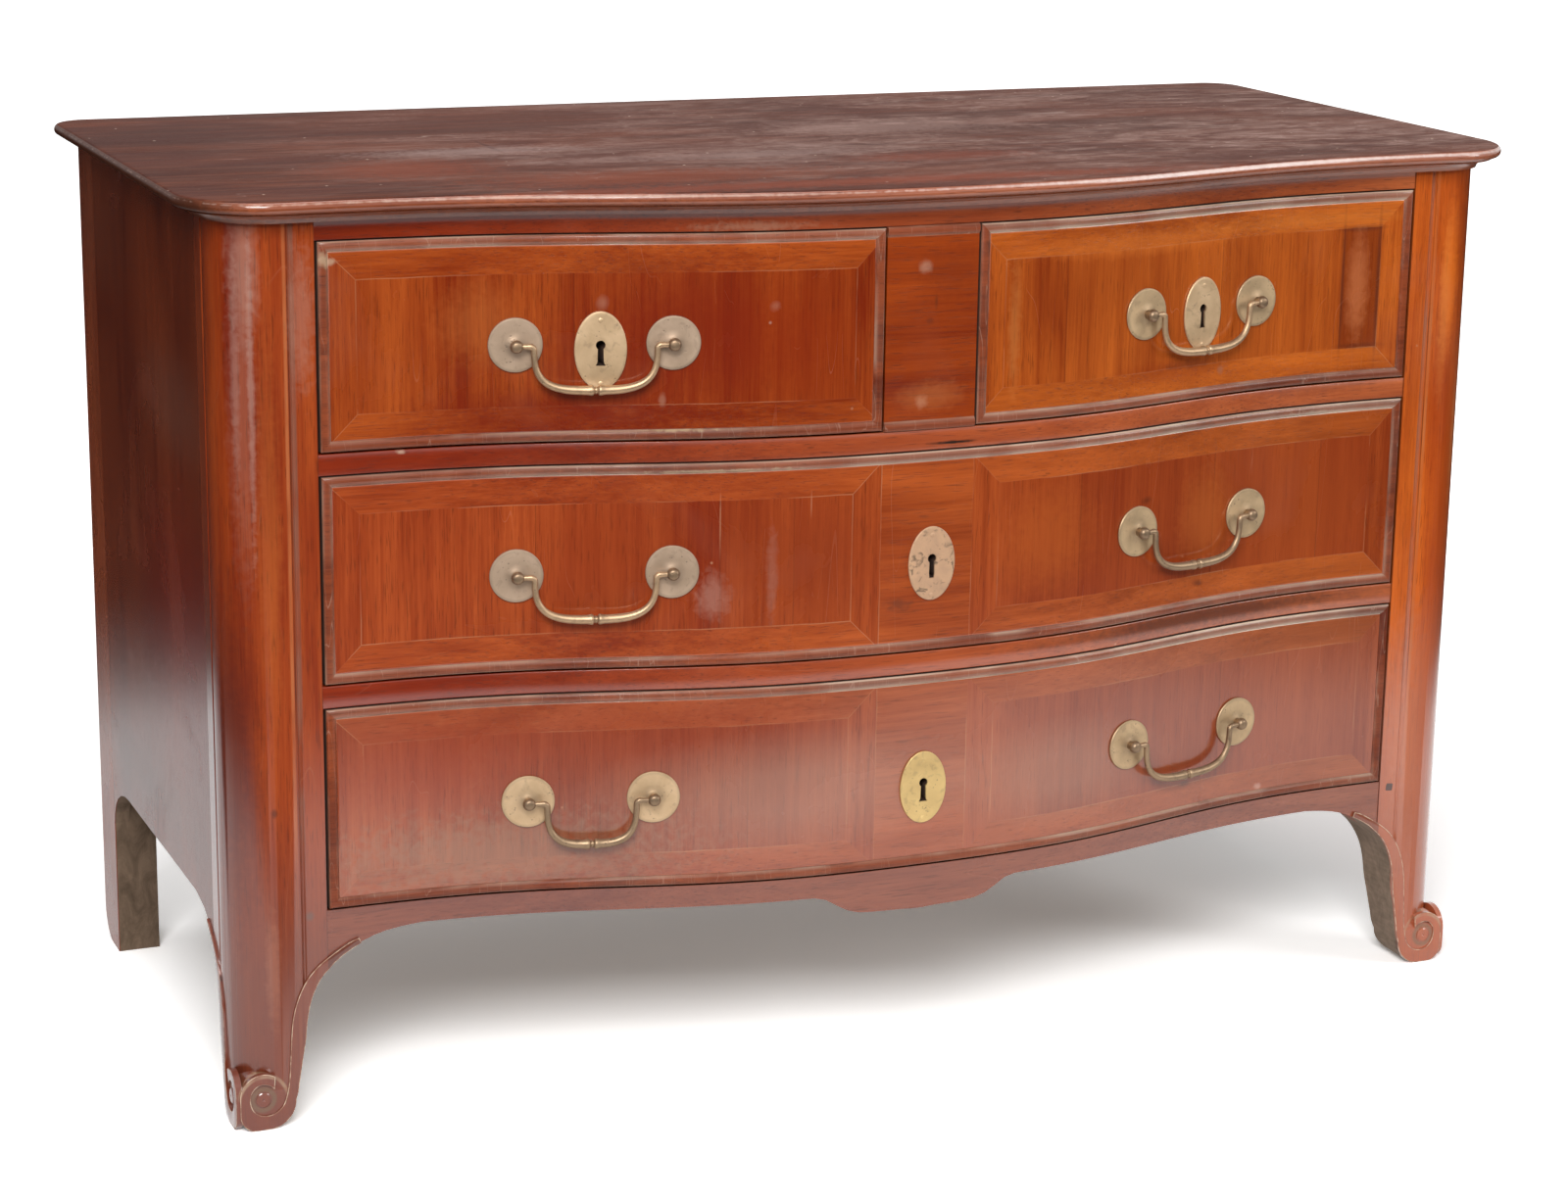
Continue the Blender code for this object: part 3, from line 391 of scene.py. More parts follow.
def blend(first, second, *shares):
    """Mixes two colours by a share, or by several shares multiplied."""
    share = times(*shares)
    node = tree_of((share, first, second)).nodes.new("ShaderNodeMix")
    node.data_type = "RGBA"
    return fill(node, in_0=share, in_6=first, in_7=second).outputs[2]


def stretched(vector, scale):
    """A place in the wood, squeezed or drawn out along each axis."""
    return wire("Mapping", Vector=vector, Scale=scale).outputs[0]


def split(vector):
    return wire("SeparateXYZ", Vector=vector).outputs


def vectors(operation, **terms):
    return wire("VectorMath", set_operation=operation, **terms).outputs


def gathered(**parts):
    return wire("CombineXYZ", **parts).outputs[0]


def cloud(vector, scale, detail=2.0, distortion=0.0, roughness=0.5):
    return wire("TexNoise", Vector=vector, Scale=scale, Detail=detail, Distortion=distortion,
                Roughness=roughness).outputs["Fac"]


def specks(vector, scale):
    """How far each place lies from the nearest of many scattered points."""
    return wire("TexVoronoi", Vector=vector, Scale=scale).outputs["Distance"]


def ramp(value, low, high, to_low=0.0, to_high=1.0):
    """Spreads a range of a value over another range, and stops at its ends."""
    return wire("MapRange", Value=value, From_Min=low, From_Max=high, To_Min=to_low,
                To_Max=to_high).outputs["Result"]


def raised(height, strength, distance):
    return wire("Bump", Height=height, Strength=strength, Distance=distance).outputs[0]


def written(place, title):
    """What a mesh attribute says, for the material to which a place belongs."""
    node = place.id_data.nodes.new("ShaderNodeAttribute")
    node.attribute_name = title
    return node.outputs["Fac"]


def new_group(name, inputs, outputs):
    """An empty node group, what it is given, and the node that takes its results."""
    group = bpy.data.node_groups.new(name, "ShaderNodeTree")
    for title, kind, value in inputs:
        socket = group.interface.new_socket(name=title, in_out="INPUT", socket_type="NodeSocket" + kind)
        if value is not None:
            socket.default_value = value
    for title, kind in outputs:
        group.interface.new_socket(name=title, in_out="OUTPUT", socket_type="NodeSocket" + kind)
    given = group.nodes.new("NodeGroupInput").outputs
    return group, given, group.nodes.new("NodeGroupOutput")


def make_grain_group():
    """Mahogany grain along Z: broad figure, ribbons, fine fibres and short dark pores."""
    group, given, result = new_group(
        "mahogany_grain",
        (("Place", "Vector", None), ("Pale", "Color", (0.4, 0.08, 0.014, 1)),
         ("Dark", "Color", (0.22, 0.025, 0.003, 1)), ("Figure", "Float", 1.0)),
        (("Color", "Color"), ("Relief", "Float")))
    place = given["Place"]
    figure = cloud(stretched(place, (1, 1, 0.3)), 9.0, 3.0, 0.5)
    ribbon = cloud(stretched(place, (1, 1, 0.045)), 75.0, 3.0, 0.25, 0.6)
    fibre = cloud(stretched(place, (1, 1, 0.022)), 420.0, 3.0, 0.1, 0.65)
    pores = cloud(stretched(place, (1, 1, 0.05)), 900.0, 1.0)
    tone = scaled(sums("SUBTRACT", figure, 0.5), 2.1, 0.5)
    tone = scaled(sums("SUBTRACT", ribbon, 0.5), 1.5, tone)
    tone = scaled(sums("SUBTRACT", fibre, 0.5), 1.1, tone)
    tone = scaled(sums("SUBTRACT", tone, 0.5), given["Figure"], 0.5, clamp=True)
    pore = ramp(pores, 0.6, 0.7)
    colour = blend(given["Dark"], given["Pale"], tone)
    colour = blend(colour, (0.045, 0.008, 0.002), pore, 0.42)
    fill(result, Color=colour, Relief=scaled(pore, -0.6, fibre))
    return group


def make_wear_group():
    """Years of use on polish: cloudy haze, fine wandering scratches, and small knocks."""
    group, given, result = new_group(
        "worn_polish", (("Place", "Vector", None), ("Amount", "Float", 1.0)),
        (("Haze", "Float"), ("Scratch", "Float"), ("Knock", "Float")))
    place = given["Place"]
    haze = ramp(cloud(place, 5.5, 5.0, 0.6, 0.6), 0.54, 0.8)
    masks = []
    for turn, scale, spread in (((0.2, 0.3, 0.15), 21.0, 0.0022), ((0.7, 1.1, 2), 34.0, 0.002)):
        turned = wire("Mapping", Vector=place, Rotation=turn, Scale=(1, 1, 0.12)).outputs[0]
        line = ramp(apart(cloud(turned, scale, 1.0), 0.5), spread, 0.0)
        here = ramp(cloud(place, scale * 0.37, 2.0, 0.3), 0.56, 0.66)
        masks.append(times(line, here))
    scratch = sums("MULTIPLY", sums("MAXIMUM", *masks), given["Amount"], clamp=True)
    spots = specks(place, 42.0)
    rare = ramp(cloud(place, 19.0, 1.0), 0.7, 0.74)
    knock = sums("MULTIPLY", times(ramp(spots, 0.075, 0.035), rare), given["Amount"], clamp=True)
    fill(result, Haze=haze, Scratch=scratch, Knock=knock)
    return group


def make_mark_group():
    """One mark at a place on the front, with a broken edge: a stain, bruise or rub, and in places a painted
    highlight, shadow or reflection.
    """
    group, given, result = new_group(
        "mark_at_a_place",
        (("Place", "Vector", None), ("At", "Vector", (0, 0, 0)),
         ("Spread", "Vector", (100, 0, 100)), ("Broken", "Float", 0.5)),
        (("Mark", "Float"),))
    away = vectors("SUBTRACT", in_0=given["Place"], in_1=given["At"])[0]
    away = vectors("MULTIPLY", in_0=away, in_1=given["Spread"])[0]
    away = vectors("LENGTH", in_0=away)["Value"]
    edge = sums("SUBTRACT", cloud(given["Place"], 140.0, 3.0, 0.5), 0.5)
    away = scaled(edge, times(given["Broken"], 3.0), away)
    fill(result, Mark=ramp(away, 1.35, 0.4))
    return group


grain_group = make_grain_group()
wear_group = make_wear_group()
mark_group = make_mark_group()


def grouped(group, **values):
    """Adds a group beside the sockets that it is joined to, and gives its results."""
    node = tree_of(values.values()).nodes.new("ShaderNodeGroup")
    node.node_tree = group
    return fill(node, **values).outputs


def open_material(name):
    """A new material, its shader and the place on the chest that it reads."""
    material = bpy.data.materials.new(name)
    material.use_nodes = True
    nodes = material.node_tree.nodes
    return material, nodes["Principled BSDF"], nodes.new("ShaderNodeTexCoord").outputs["Object"]


def laid_along_x(place):
    """Turns a place so that grain made along Z lies along X."""
    parts = split(place)
    return gathered(X=parts["Z"], Y=parts["Y"], Z=parts["X"])


def marked(place, colour, marks):
    """Lays marks over a colour: each is across, up, half width, half height, how broken, depth, colour."""
    for across, up, half_width, half_height, broken, depth, overlay in marks:
        spot = grouped(mark_group, Place=place, At=(across, 0, up),
                       Spread=(1 / half_width, 0, 1 / half_height), Broken=broken)
        colour = blend(colour, overlay, spot[0], depth)
    return colour


def finish_polish(shader, colour, relief, place, wear, rough=0.28):
    """Wears a polished colour: haze, pale scratches and knocks, uneven gloss and a little relief."""
    worn = grouped(wear_group, Place=place, Amount=1.0)
    colour = blend(colour, (0.34, 0.13, 0.08), worn["Haze"], 0.1 * wear)
    colour = blend(colour, (0.5, 0.2, 0.1), worn["Scratch"], 0.16)
    colour = blend(colour, (0.52, 0.28, 0.16), worn["Knock"], 0.5)
    gloss = scaled(worn["Haze"], 0.22, rough)
    gloss = scaled(worn["Scratch"], 0.25, gloss, clamp=True)
    height = scaled(worn["Scratch"], -0.8, relief)
    height = scaled(cloud(place, 26.0), 1.6, height)
    fill(shader, Base_Color=colour, Roughness=gloss, Normal=raised(height, 0.3, 0.0004), Coat_Weight=1.0,
         Coat_Roughness=0.13, Coat_IOR=1.58, Specular_IOR_Level=0.25)


LEFT_PALE, LEFT_DARK = (0.4, 0.072, 0.012), (0.185, 0.015, 0.002)
# The right's pale tones are partly painted light falling from the right; so are the paler right tones of the
# rails and fronts
RIGHT_PALE, RIGHT_DARK = (0.71, 0.15, 0.016), (0.36, 0.05, 0.004)


def sunned(place, left, right):
    """The colour runs from the left's tone to the right's across the chest, mostly redder at the left and
    paler, more orange at the right: partly the wood's own tone, partly painted light falling from the right.
    """
    return blend(left, right, ramp(split(place)["X"], -0.45, 0.62))


LEFT_LOW, RIGHT_LOW = (0.125, 0.033, 0.018), (0.33, 0.096, 0.05)


def polished_upright(name):
    """Polished mahogany with its grain upright, browner toward the floor."""
    material, shader, place = open_material(name)
    grain = grouped(grain_group, Place=place, Pale=sunned(place, LEFT_PALE, RIGHT_PALE),
                    Dark=sunned(place, LEFT_DARK, RIGHT_DARK), Figure=0.8)
    parts = split(place)
    height = scaled(cloud(stretched(place, (1, 1, 0.3)), 24.0, 3.0), 0.12, parts["Z"])
    low = times(ramp(height, 0.4, 0.2), 0.72)
    colour = blend(grain["Color"], sunned(place, LEFT_LOW, RIGHT_LOW), low)
    # Painted light at the grooves: a mauve painted reflection and a dark painted shade line in each, and a
    # pale painted highlight beside it
    out = sums("ABSOLUTE", parts["X"])
    back = sums("SUBTRACT", parts["Y"], FLAT_FRONT)
    front_face = sums("LESS_THAN", back, 0.004)
    patches = ramp(cloud(stretched(place, (1, 1, 0.25)), 60.0, 3.0), 0.3, 0.62, 0.25)
    for centre, half, share, overlay in ((0.575, 0.003, 0.7, (0.255, 0.115, 0.078)),
                                       (0.5787, 0.0008, 0.75, (0.07, 0.016, 0.008)),
                                       (0.5812, 0.002, 0.55, (0.52, 0.17, 0.06))):
        line = ramp(apart(out, centre), half, half * 0.5)
        above = ramp(parts["Z"], 0.2, 0.33, 0.15)
        colour = blend(colour, overlay, line, front_face, patches, above, share)
    # At the side's groove: a pale painted reflection in it and a dark painted shade line at its front edge
    side_face = sums("GREATER_THAN", out, CASE_HALF - 0.004)
    for centre, half, share, overlay in ((0.0535, 0.0012, 0.6, (0.3, 0.095, 0.06)),
                                       (0.0512, 0.0013, 0.85, (0.045, 0.008, 0.003))):
        colour = blend(colour, overlay, ramp(apart(back, centre), half, half * 0.5), side_face, share)
    # The hairline where the stile meets the rails
    colour = blend(colour, (0.06, 0.012, 0.005), ramp(out, 0.5548, 0.5543), front_face, 0.6)
    # Greenish dirt round the scroll's eye, and a pale worn arris over its curl
    flat = gathered(X=out, Z=parts["Z"])
    away = vectors("DISTANCE", in_0=flat, in_1=(CASE_HALF - EYE[0], 0, EYE[1]))["Value"]
    colour = blend(colour, (0.15, 0.095, 0.05), ramp(apart(away, 0.01), 0.0034, 0.001), front_face, 0.62)
    curl = ramp(apart(away, 0.0225), 0.0022, 0.0008)
    curl = times(curl, times(ramp(parts["Z"], 0.03, 0.04), patches))
    colour = blend(colour, (0.4, 0.27, 0.16), curl, 0.6)
    colour = marked(place, colour, (
        # The next five marks paint highlights: pale streaks down the left stile's round and a pale patch on
        # its flat
        (-0.615, 0.79, 0.011, 0.06, 0.3, 0.35, (0.46, 0.28, 0.22)),
        (-0.618, 0.66, 0.01, 0.14, 0.45, 0.2, (0.4, 0.2, 0.15)),
        (-0.611, 0.69, 0.0025, 0.12, 0.5, 0.3, (0.52, 0.34, 0.28)),
        (-0.623, 0.7, 0.003, 0.09, 0.5, 0.25, (0.46, 0.28, 0.23)),
        (-0.567, 0.745, 0.01, 0.06, 0.6, 0.35, (0.42, 0.2, 0.14)),
        # The next mark paints a pale mauve reflection of the floor low on the right stile
        (0.6, 0.25, 0.06, 0.12, 0.2, 0.5, (0.45, 0.195, 0.135)),
        (0.569, 0.6, 0.012, 0.2, 0.35, 0.12, (0.8, 0.23, 0.03)),
        (-0.598, 0.56, 0.009, 0.16, 0.35, 0.22, (0.52, 0.15, 0.03)),
        (-0.632, 0.34, 0.02, 0.15, 0.2, 0.8, (0.09, 0.01, 0.004)),
        (0.609, 0.48, 0.015, 0.3, 0.15, 0.45, (0.32, 0.038, 0.003)),
        (0.593, 0.57, 0.008, 0.11, 0.2, 0.45, (0.3, 0.03, 0.003)),
        (0.602, 0.72, 0.01, 0.07, 0.3, 0.55, (0.85, 0.2, 0.02)),
        # The next mark paints a highlight down the right stile's round
        (0.636, 0.6, 0.008, 0.3, 0.15, 0.5, (0.76, 0.19, 0.02)),
        (-0.6, 0.3, 0.003, 0.004, 0.2, 0.6, (0.05, 0.012, 0.006)),
        (-0.57, 0.2, 0.004, 0.004, 0.2, 0.5, (0.09, 0.07, 0.06)),
        (-0.604, 0.15, 0.006, 0.05, 0.4, 0.35, (0.36, 0.12, 0.06)),
        (0.622, 0.56, 0.004, 0.06, 0.5, 0.3, (0.7, 0.3, 0.1)),
        (0.596, 0.69, 0.006, 0.08, 0.5, 0.3, (0.66, 0.22, 0.05))))
    finish_polish(shader, colour, grain["Relief"], place, 0.8)
    return material


def rough_sawn(name, pale=(0.3, 0.21, 0.15), dark=(0.12, 0.082, 0.053)):
    """Bare wood under the chest, gone greenish brown with dirt. Given near-black colours, it also paints
    shade on the drawers' edges.
    """
    material, shader, place = open_material(name)
    marks = cloud(stretched(place, (1, 1, 0.5)), 60.0, 5.0, 0.8, 0.7)
    saw = cloud(stretched(place, (0.2, 0.2, 1)), 260.0)
    tone = scaled(saw, 0.35, times(marks, 0.9), clamp=True)
    fill(shader, Base_Color=blend(dark, pale, ramp(tone, 0.35, 0.85)), Roughness=0.85,
         Normal=raised(tone, 0.5, 0.0012))
    return material


def worn_edge(name):
    """Where the raised bands' arrises have worn to pale wood with greenish dirt beside them."""
    material, shader, place = open_material(name)
    patches = cloud(place, 130.0, 3.0, 0.5)
    colour = blend((0.24, 0.11, 0.07), (0.56, 0.41, 0.29), ramp(patches, 0.4, 0.6))
    fill(shader, Base_Color=colour, Roughness=0.55)
    return material


upright_polish = polished_upright("polished_mahogany_upright")
foot_underside = rough_sawn("rough_sawn_mahogany")
band_edge = worn_edge("worn_band_edge")
right_stile = make_stile((upright_polish, foot_underside, band_edge))
left_stile = twin(right_stile, "left_stile_and_foot")
for stile, side in ((right_stile, "right"), (left_stile, "left")):
    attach(stile, "case")
    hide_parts(side + "_front_stile")

# Back posts and side panels. The posts are plain squared uprights with a rounded heel. Each side is
# one polished mahogany board between post and stile, whose lower edge is sawn to the same arch.
# Only their outer faces are polished: the faces that look under or into the chest are bare.
SIDE_PALE, SIDE_DARK = (0.21, 0.036, 0.009), (0.085, 0.008, 0.001)


def outside_only(name, pale, dark, rough):
    """Polish on the chest's outer side faces, and bare wood on the rest of the same board."""
    material, shader, place = open_material(name)
    grain = grouped(grain_group, Place=place, Pale=pale, Dark=dark, Figure=0.9)
    parts = split(place)
    outer = ramp(sums("ABSOLUTE", parts["X"]), CASE_HALF - 0.0012, CASE_HALF - 0.0006)
    marks = cloud(stretched(place, (1, 1, 0.5)), 60.0, 5.0, 0.8, 0.7)
    bare = blend((0.08, 0.05, 0.03), (0.195, 0.13, 0.085), ramp(marks, 0.3, 0.75))
    worn = grouped(wear_group, Place=place, Amount=0.8)
    polish = blend(grain["Color"], (0.4, 0.22, 0.15), worn["Scratch"], 0.3)
    # A paler, greyer patch high on the board and a dirty one above the arch
    lying = gathered(X=parts["Y"], Z=parts["Z"])
    polish = marked(lying, polish, (
        (-0.06, 0.64, 0.12, 0.045, 0.5, 0.3, (0.18, 0.08, 0.055)),
        (0.3, 0.76, 0.18, 0.06, 0.5, 0.22, (0.16, 0.06, 0.035)),
        (0.42, 0.69, 0.006, 0.004, 0.3, 0.5, (0.45, 0.32, 0.22)),
        (0.4, 0.655, 0.005, 0.01, 0.5, 0.35, (0.38, 0.24, 0.15)),
        (-0.08, 0.43, 0.16, 0.13, 0.2, 0.5, (0.19, 0.008, 0.001)),
        (0.12, 0.24, 0.22, 0.03, 0.6, 0.35, (0.06, 0.02, 0.012))))
    gloss = sums("MAXIMUM", scaled(worn["Haze"], 0.14, rough), ramp(outer, 0.0, 1.0, 0.85, 0.0))
    height = scaled(cloud(place, 22.0), 1.6, grain["Relief"])
    fill(shader, Base_Color=blend(bare, polish, outer), Roughness=gloss, Coat_Weight=times(outer, 0.15),
         Coat_Roughness=0.18, Specular_IOR_Level=0.35, Normal=raised(height, 0.28, 0.0004))
    return material


side_polish = outside_only("polished_side_board", SIDE_PALE, SIDE_DARK, 0.24)
post_polish = outside_only("polished_back_post", (0.3, 0.062, 0.018), (0.15, 0.022, 0.007), 0.26)
for side in ("left", "right"):
    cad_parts[side + "_side_panel"].data.materials[0] = side_polish
    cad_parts[side + "_back_post"].data.materials[0] = post_polish

# Hidden boards of bare softer wood: two back boards, a dust board under each row of drawers, the
# guide behind the fixed panel, and every drawer's sides, bottom and back. They are planed, not
# polished, and have gone brown, with darker dirt in clouds.
BARE_PALE, BARE_DARK = (0.43, 0.285, 0.165), (0.25, 0.15, 0.08)
OLD_PALE, OLD_DARK = (0.25, 0.16, 0.095), (0.12, 0.07, 0.04)


def bare_board(name, pale, dark, along, marks=()):
    """Unpolished wood with its grain along an axis."""
    material, shader, place = open_material(name)
    parts = split(place)
    order = {"X": ("Z", "Y", "X"), "Y": ("X", "Z", "Y")}[along]
    turned = gathered(X=parts[order[0]], Y=parts[order[1]], Z=parts[order[2]])
    rings = cloud(stretched(turned, (1, 1, 0.06)), 34.0, 4.0, 1.2, 0.6)
    lines = apart(sums("FRACT", times(rings, 9.0)), 0.5)
    fibre = cloud(stretched(turned, (1, 1, 0.03)), 520.0)
    tone = scaled(lines, 0.9, times(fibre, 0.6), clamp=True)
    dirt = ramp(cloud(place, 7.0, 4.0, 0.4), 0.5, 0.75)
    colour = blend(dark, pale, tone)
    colour = blend(colour, dark, dirt, 0.5)
    colour = marked(place, colour, marks)
    fill(shader, Base_Color=colour, Roughness=ramp(fibre, 0.3, 0.7, 0.62, 0.8),
         Normal=raised(tone, 0.35, 0.0005))
    return material


drawer_sides_wood = bare_board("bare_drawer_sides", BARE_PALE, BARE_DARK, "Y")
drawer_cross_wood = bare_board("bare_drawer_bottoms_and_backs", BARE_PALE, BARE_DARK, "X")
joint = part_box("lower_back_board")[1][2]
sill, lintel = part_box("lower_back_board")[0][2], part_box("upper_back_board")[1][2]
RUST, NAIL = (0.07, 0.03, 0.016), (0.02, 0.013, 0.01)
nails = [(side * 0.585, height) for side in (-1, 1)
         for height in (sill + 0.035, joint - 0.045, joint + 0.04, lintel - 0.045)]
back_marks = [(0, joint, 0.64, 0.0016, 0.1, 1.0, (0.01, 0.006, 0.004)),
              (0.21, joint + 0.11, 0.18, 0.0007, 0.5, 0.8, (0.02, 0.012, 0.008)),
              (-0.3, sill + 0.09, 0.13, 0.0007, 0.5, 0.8, (0.02, 0.012, 0.008)),
              (-0.15, joint + 0.06, 0.11, 0.05, 0.8, 0.35, (0.085, 0.05, 0.03)),
              (0.33, sill + 0.13, 0.14, 0.06, 0.8, 0.35, (0.3, 0.215, 0.145)),
              (-0.4, lintel - 0.08, 0.1, 0.04, 0.8, 0.3, (0.3, 0.215, 0.145))]
back_marks += [(x, z, 0.006, 0.01, 0.6, 0.6, RUST) for x, z in nails]
back_marks += [(x, z, 0.0026, 0.0026, 0.1, 1.0, NAIL) for x, z in nails]
old_cross_wood = bare_board("bare_back_boards", OLD_PALE, OLD_DARK, "X", back_marks)
old_guide_wood = bare_board("bare_guide", OLD_PALE, OLD_DARK, "Y")
for node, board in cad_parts.items():
    if node.endswith(("_left_side", "_right_side")):
        material = drawer_sides_wood
    elif node.endswith("_bottom") or node.endswith("drawer_back"):
        material = drawer_cross_wood
    elif node.endswith("_board"):
        material = old_cross_wood
    elif node == "centre_guide":
        material = old_guide_wood
    else:
        continue
    board.data.materials[0] = material

# Rails between the drawers. Three strips of mahogany joined into the stiles, cut to the front's
# double curve and a hair behind the drawers' faces. Their front arrises are rubbed round.
FRONT_HALF = 0.554
FRONT_SWELL = 0.073
THIRD_WAVE = 0.064
RAIL_BACK = 0.035
RAIL_SETBACK = 0.001
END_GAP = 0.0003


def front_line(x):
    """How far the serpentine front stands off the stiles' flat faces, at a place along X."""
    share = min(1, abs(x) / FRONT_HALF)
    wave = 1 + math.cos(math.pi * share) - THIRD_WAVE * (1 + math.cos(3 * math.pi * share))
    return -FRONT_SWELL * wave / (2 * (1 - THIRD_WAVE))


def squared_board(name, low, high, slices):
    """A squared board between two corners, sliced along X so that it can be bent."""
    board = new_piece(bpy.ops.mesh.primitive_cube_add, size=1, scale=[b - a for a, b in zip(low, high)],
                      location=[(a + b) / 2 for a, b in zip(low, high)])
    board.name = name
    take_up(board)
    pick(board, "edges", lambda edge: abs(edge.verts[0].co.x - edge.verts[1].co.x) > 0.01)
    bpy.ops.mesh.subdivide(number_cuts=slices)
    lay_down_tools()
    return board


def curve_front(board):
    """Moves the front of a straight board out to the serpentine line."""
    shift_rows(board, 0, lambda x: (0, front_line(x), 0), lambda place: place.y < FLAT_FRONT + 0.01)


def make_rail(name, low, high):
    rail = squared_board(name, (-FRONT_HALF + END_GAP, FLAT_FRONT + RAIL_SETBACK, low),
                         (FRONT_HALF - END_GAP, FLAT_FRONT + RAIL_BACK, high), 72)
    take_up(rail)
    pick(rail, "edges", lambda edge: all(point.co.y < FLAT_FRONT + 0.002 for point in edge.verts)
         and abs(edge.verts[0].co.z - edge.verts[1].co.z) < 0.0001)
    bpy.ops.mesh.bevel(offset=0.0009, segments=3)
    lay_down_tools()
    curve_front(rail)
    smooth(rail)
    return rail


def polished_level(name, pale, dark, right_pale, right_dark, wear, rough=0.3, marks=(), dull_end=False):
    """Polished mahogany with its grain level, along the front."""
    material, shader, place = open_material(name)
    level = laid_along_x(place)
    grain = grouped(grain_group, Place=level, Pale=sunned(place, pale, right_pale),
                    Dark=sunned(place, dark, right_dark), Figure=0.8)
    colour = marked(place, grain["Color"], marks)
    finish_polish(shader, colour, grain["Relief"], level, wear, rough)
    if dull_end:
        fill(shader, Coat_Weight=ramp(split(place)["X"], -0.655, -0.605), Specular_IOR_Level=0.02)
    return material


# The first four marks paint shadow: near-black strips on the rails along the gaps at the drawers' edges
RAIL_MARKS = ((-0.295, 0.8032, 0.036, 0.0012, 0.2, 1.0, (0.01, 0.005, 0.003)),
              (0.305, 0.8027, 0.036, 0.0012, 0.2, 1.0, (0.01, 0.005, 0.003)),
              (0.025, 0.6103, 0.022, 0.0014, 0.3, 1.0, (0.01, 0.005, 0.003)),
              (-0.012, 0.3895, 0.028, 0.0012, 0.2, 1.0, (0.01, 0.005, 0.003)),
              (-0.17, 0.817, 0.05, 0.004, 0.8, 0.4, (0.45, 0.25, 0.16)),
              (-0.48, 0.622, 0.004, 0.002, 0.4, 0.6, (0.55, 0.36, 0.25)),
              (0.455, 0.622, 0.08, 0.008, 0.5, 0.35, (0.15, 0.03, 0.012)),
              (0.33, 0.406, 0.2, 0.01, 0.3, 0.85, (0.1, 0.028, 0.014)))
rail_polish = polished_level("polished_rails", (0.265, 0.026, 0.003), (0.14, 0.009, 0.001),
                             (0.62, 0.165, 0.05), (0.29, 0.058, 0.018), 1.0, 0.3, RAIL_MARKS)
for node in ("top_rail", "upper_rail", "middle_rail"):
    lowest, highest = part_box(node)
    rail = make_rail(node.replace("rail", "rail_strip"), lowest[2], highest[2])
    cover(rail, rail_polish)
    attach(rail, "case")
    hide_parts(node)

# The apron. The lowest rail carries the feet's arches on at both ends, and has a small drop with a
# slight point in its middle. It is polished in front and bare below.
APRON_TOP = 0.2029
APRON_DROP = 0.022
DROP_HALF_WIDTH = 0.105
DROP_EDGE = ((0.0, 1.0), (0.14, 0.93), (0.4, 0.9), (0.58, 0.84), (0.7, 0.66), (0.79, 0.41),
             (0.89, 0.12), (1.0, 0.0))
APRON_SLICES = 158


def read_off(line, place):
    """Reads a drawn line's height at a place along it."""
    for (low, first), (high, second) in zip(line, line[1:]):
        if place <= high:
            return first + (second - first) * (place - low) / (high - low)
    return line[-1][1]


front_arch_line = arch_line(*FRONT_ARCH)
drop_line = fair_curve(DROP_EDGE, 4)


def apron_edge(x):
    inward = CASE_HALF - abs(x)
    if inward < FRONT_ARCH[0]:
        return read_off(front_arch_line, inward)
    if abs(x) < DROP_HALF_WIDTH:
        return FRONT_ARCH[1] - APRON_DROP * read_off(drop_line, abs(x) / DROP_HALF_WIDTH)
    return FRONT_ARCH[1]


apron = squared_board("shaped_apron", (-FRONT_HALF + END_GAP, FLAT_FRONT + RAIL_SETBACK, FRONT_ARCH[1]),
                      (FRONT_HALF - END_GAP, FLAT_FRONT + RAIL_BACK, APRON_TOP), APRON_SLICES)
shift_rows(apron, 0, lambda x: (0, 0, apron_edge(x) - FRONT_ARCH[1]),
           lambda place: place.z < FRONT_ARCH[1] + 0.001)
curve_front(apron)
smooth(apron)
for face in apron.data.polygons:
    face.material_index = 1 if face.normal.y > 0.7 or face.normal.z < -0.3 else 0
apron_polish = polished_level("polished_apron", (0.22, 0.05, 0.02), (0.12, 0.02, 0.008),
                              (0.31, 0.085, 0.036), (0.16, 0.034, 0.014), 1.3, 0.26)
cover(apron, apron_polish, foot_underside)
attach(apron, "case")
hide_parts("apron")

# The top. One broad board overhangs the case and follows its front's curve, with rounded corners.
# Its edge has a half-round nose above a small step and a hollow. The polish on its face has gone
# dull under dust, rubs and rings, with painted reflection mixed into the pale dust, and is still
# glossy on the nose, where a highlight and the shade under it are painted as well.
TOP_FRONT, TOP_SIDE, TOP_BACK = 0.032, 0.0265, 0.0165
TOP_BACK_RADIUS = 0.038
TOP_LOW, TOP_HIGH = 0.83, 0.8515
NOSE, UNDER_NOSE, FLAT_EDGE = 0.0055, 0.945, 0.0003
CASE_BACK = 0.5636


def front_slope(x):
    share = x / FRONT_HALF
    if abs(share) >= 1:
        return 0
    wave = math.sin(math.pi * share) - THIRD_WAVE * 3 * math.sin(3 * math.pi * share)
    return FRONT_SWELL * math.pi / FRONT_HALF * wave / (2 * (1 - THIRD_WAVE))


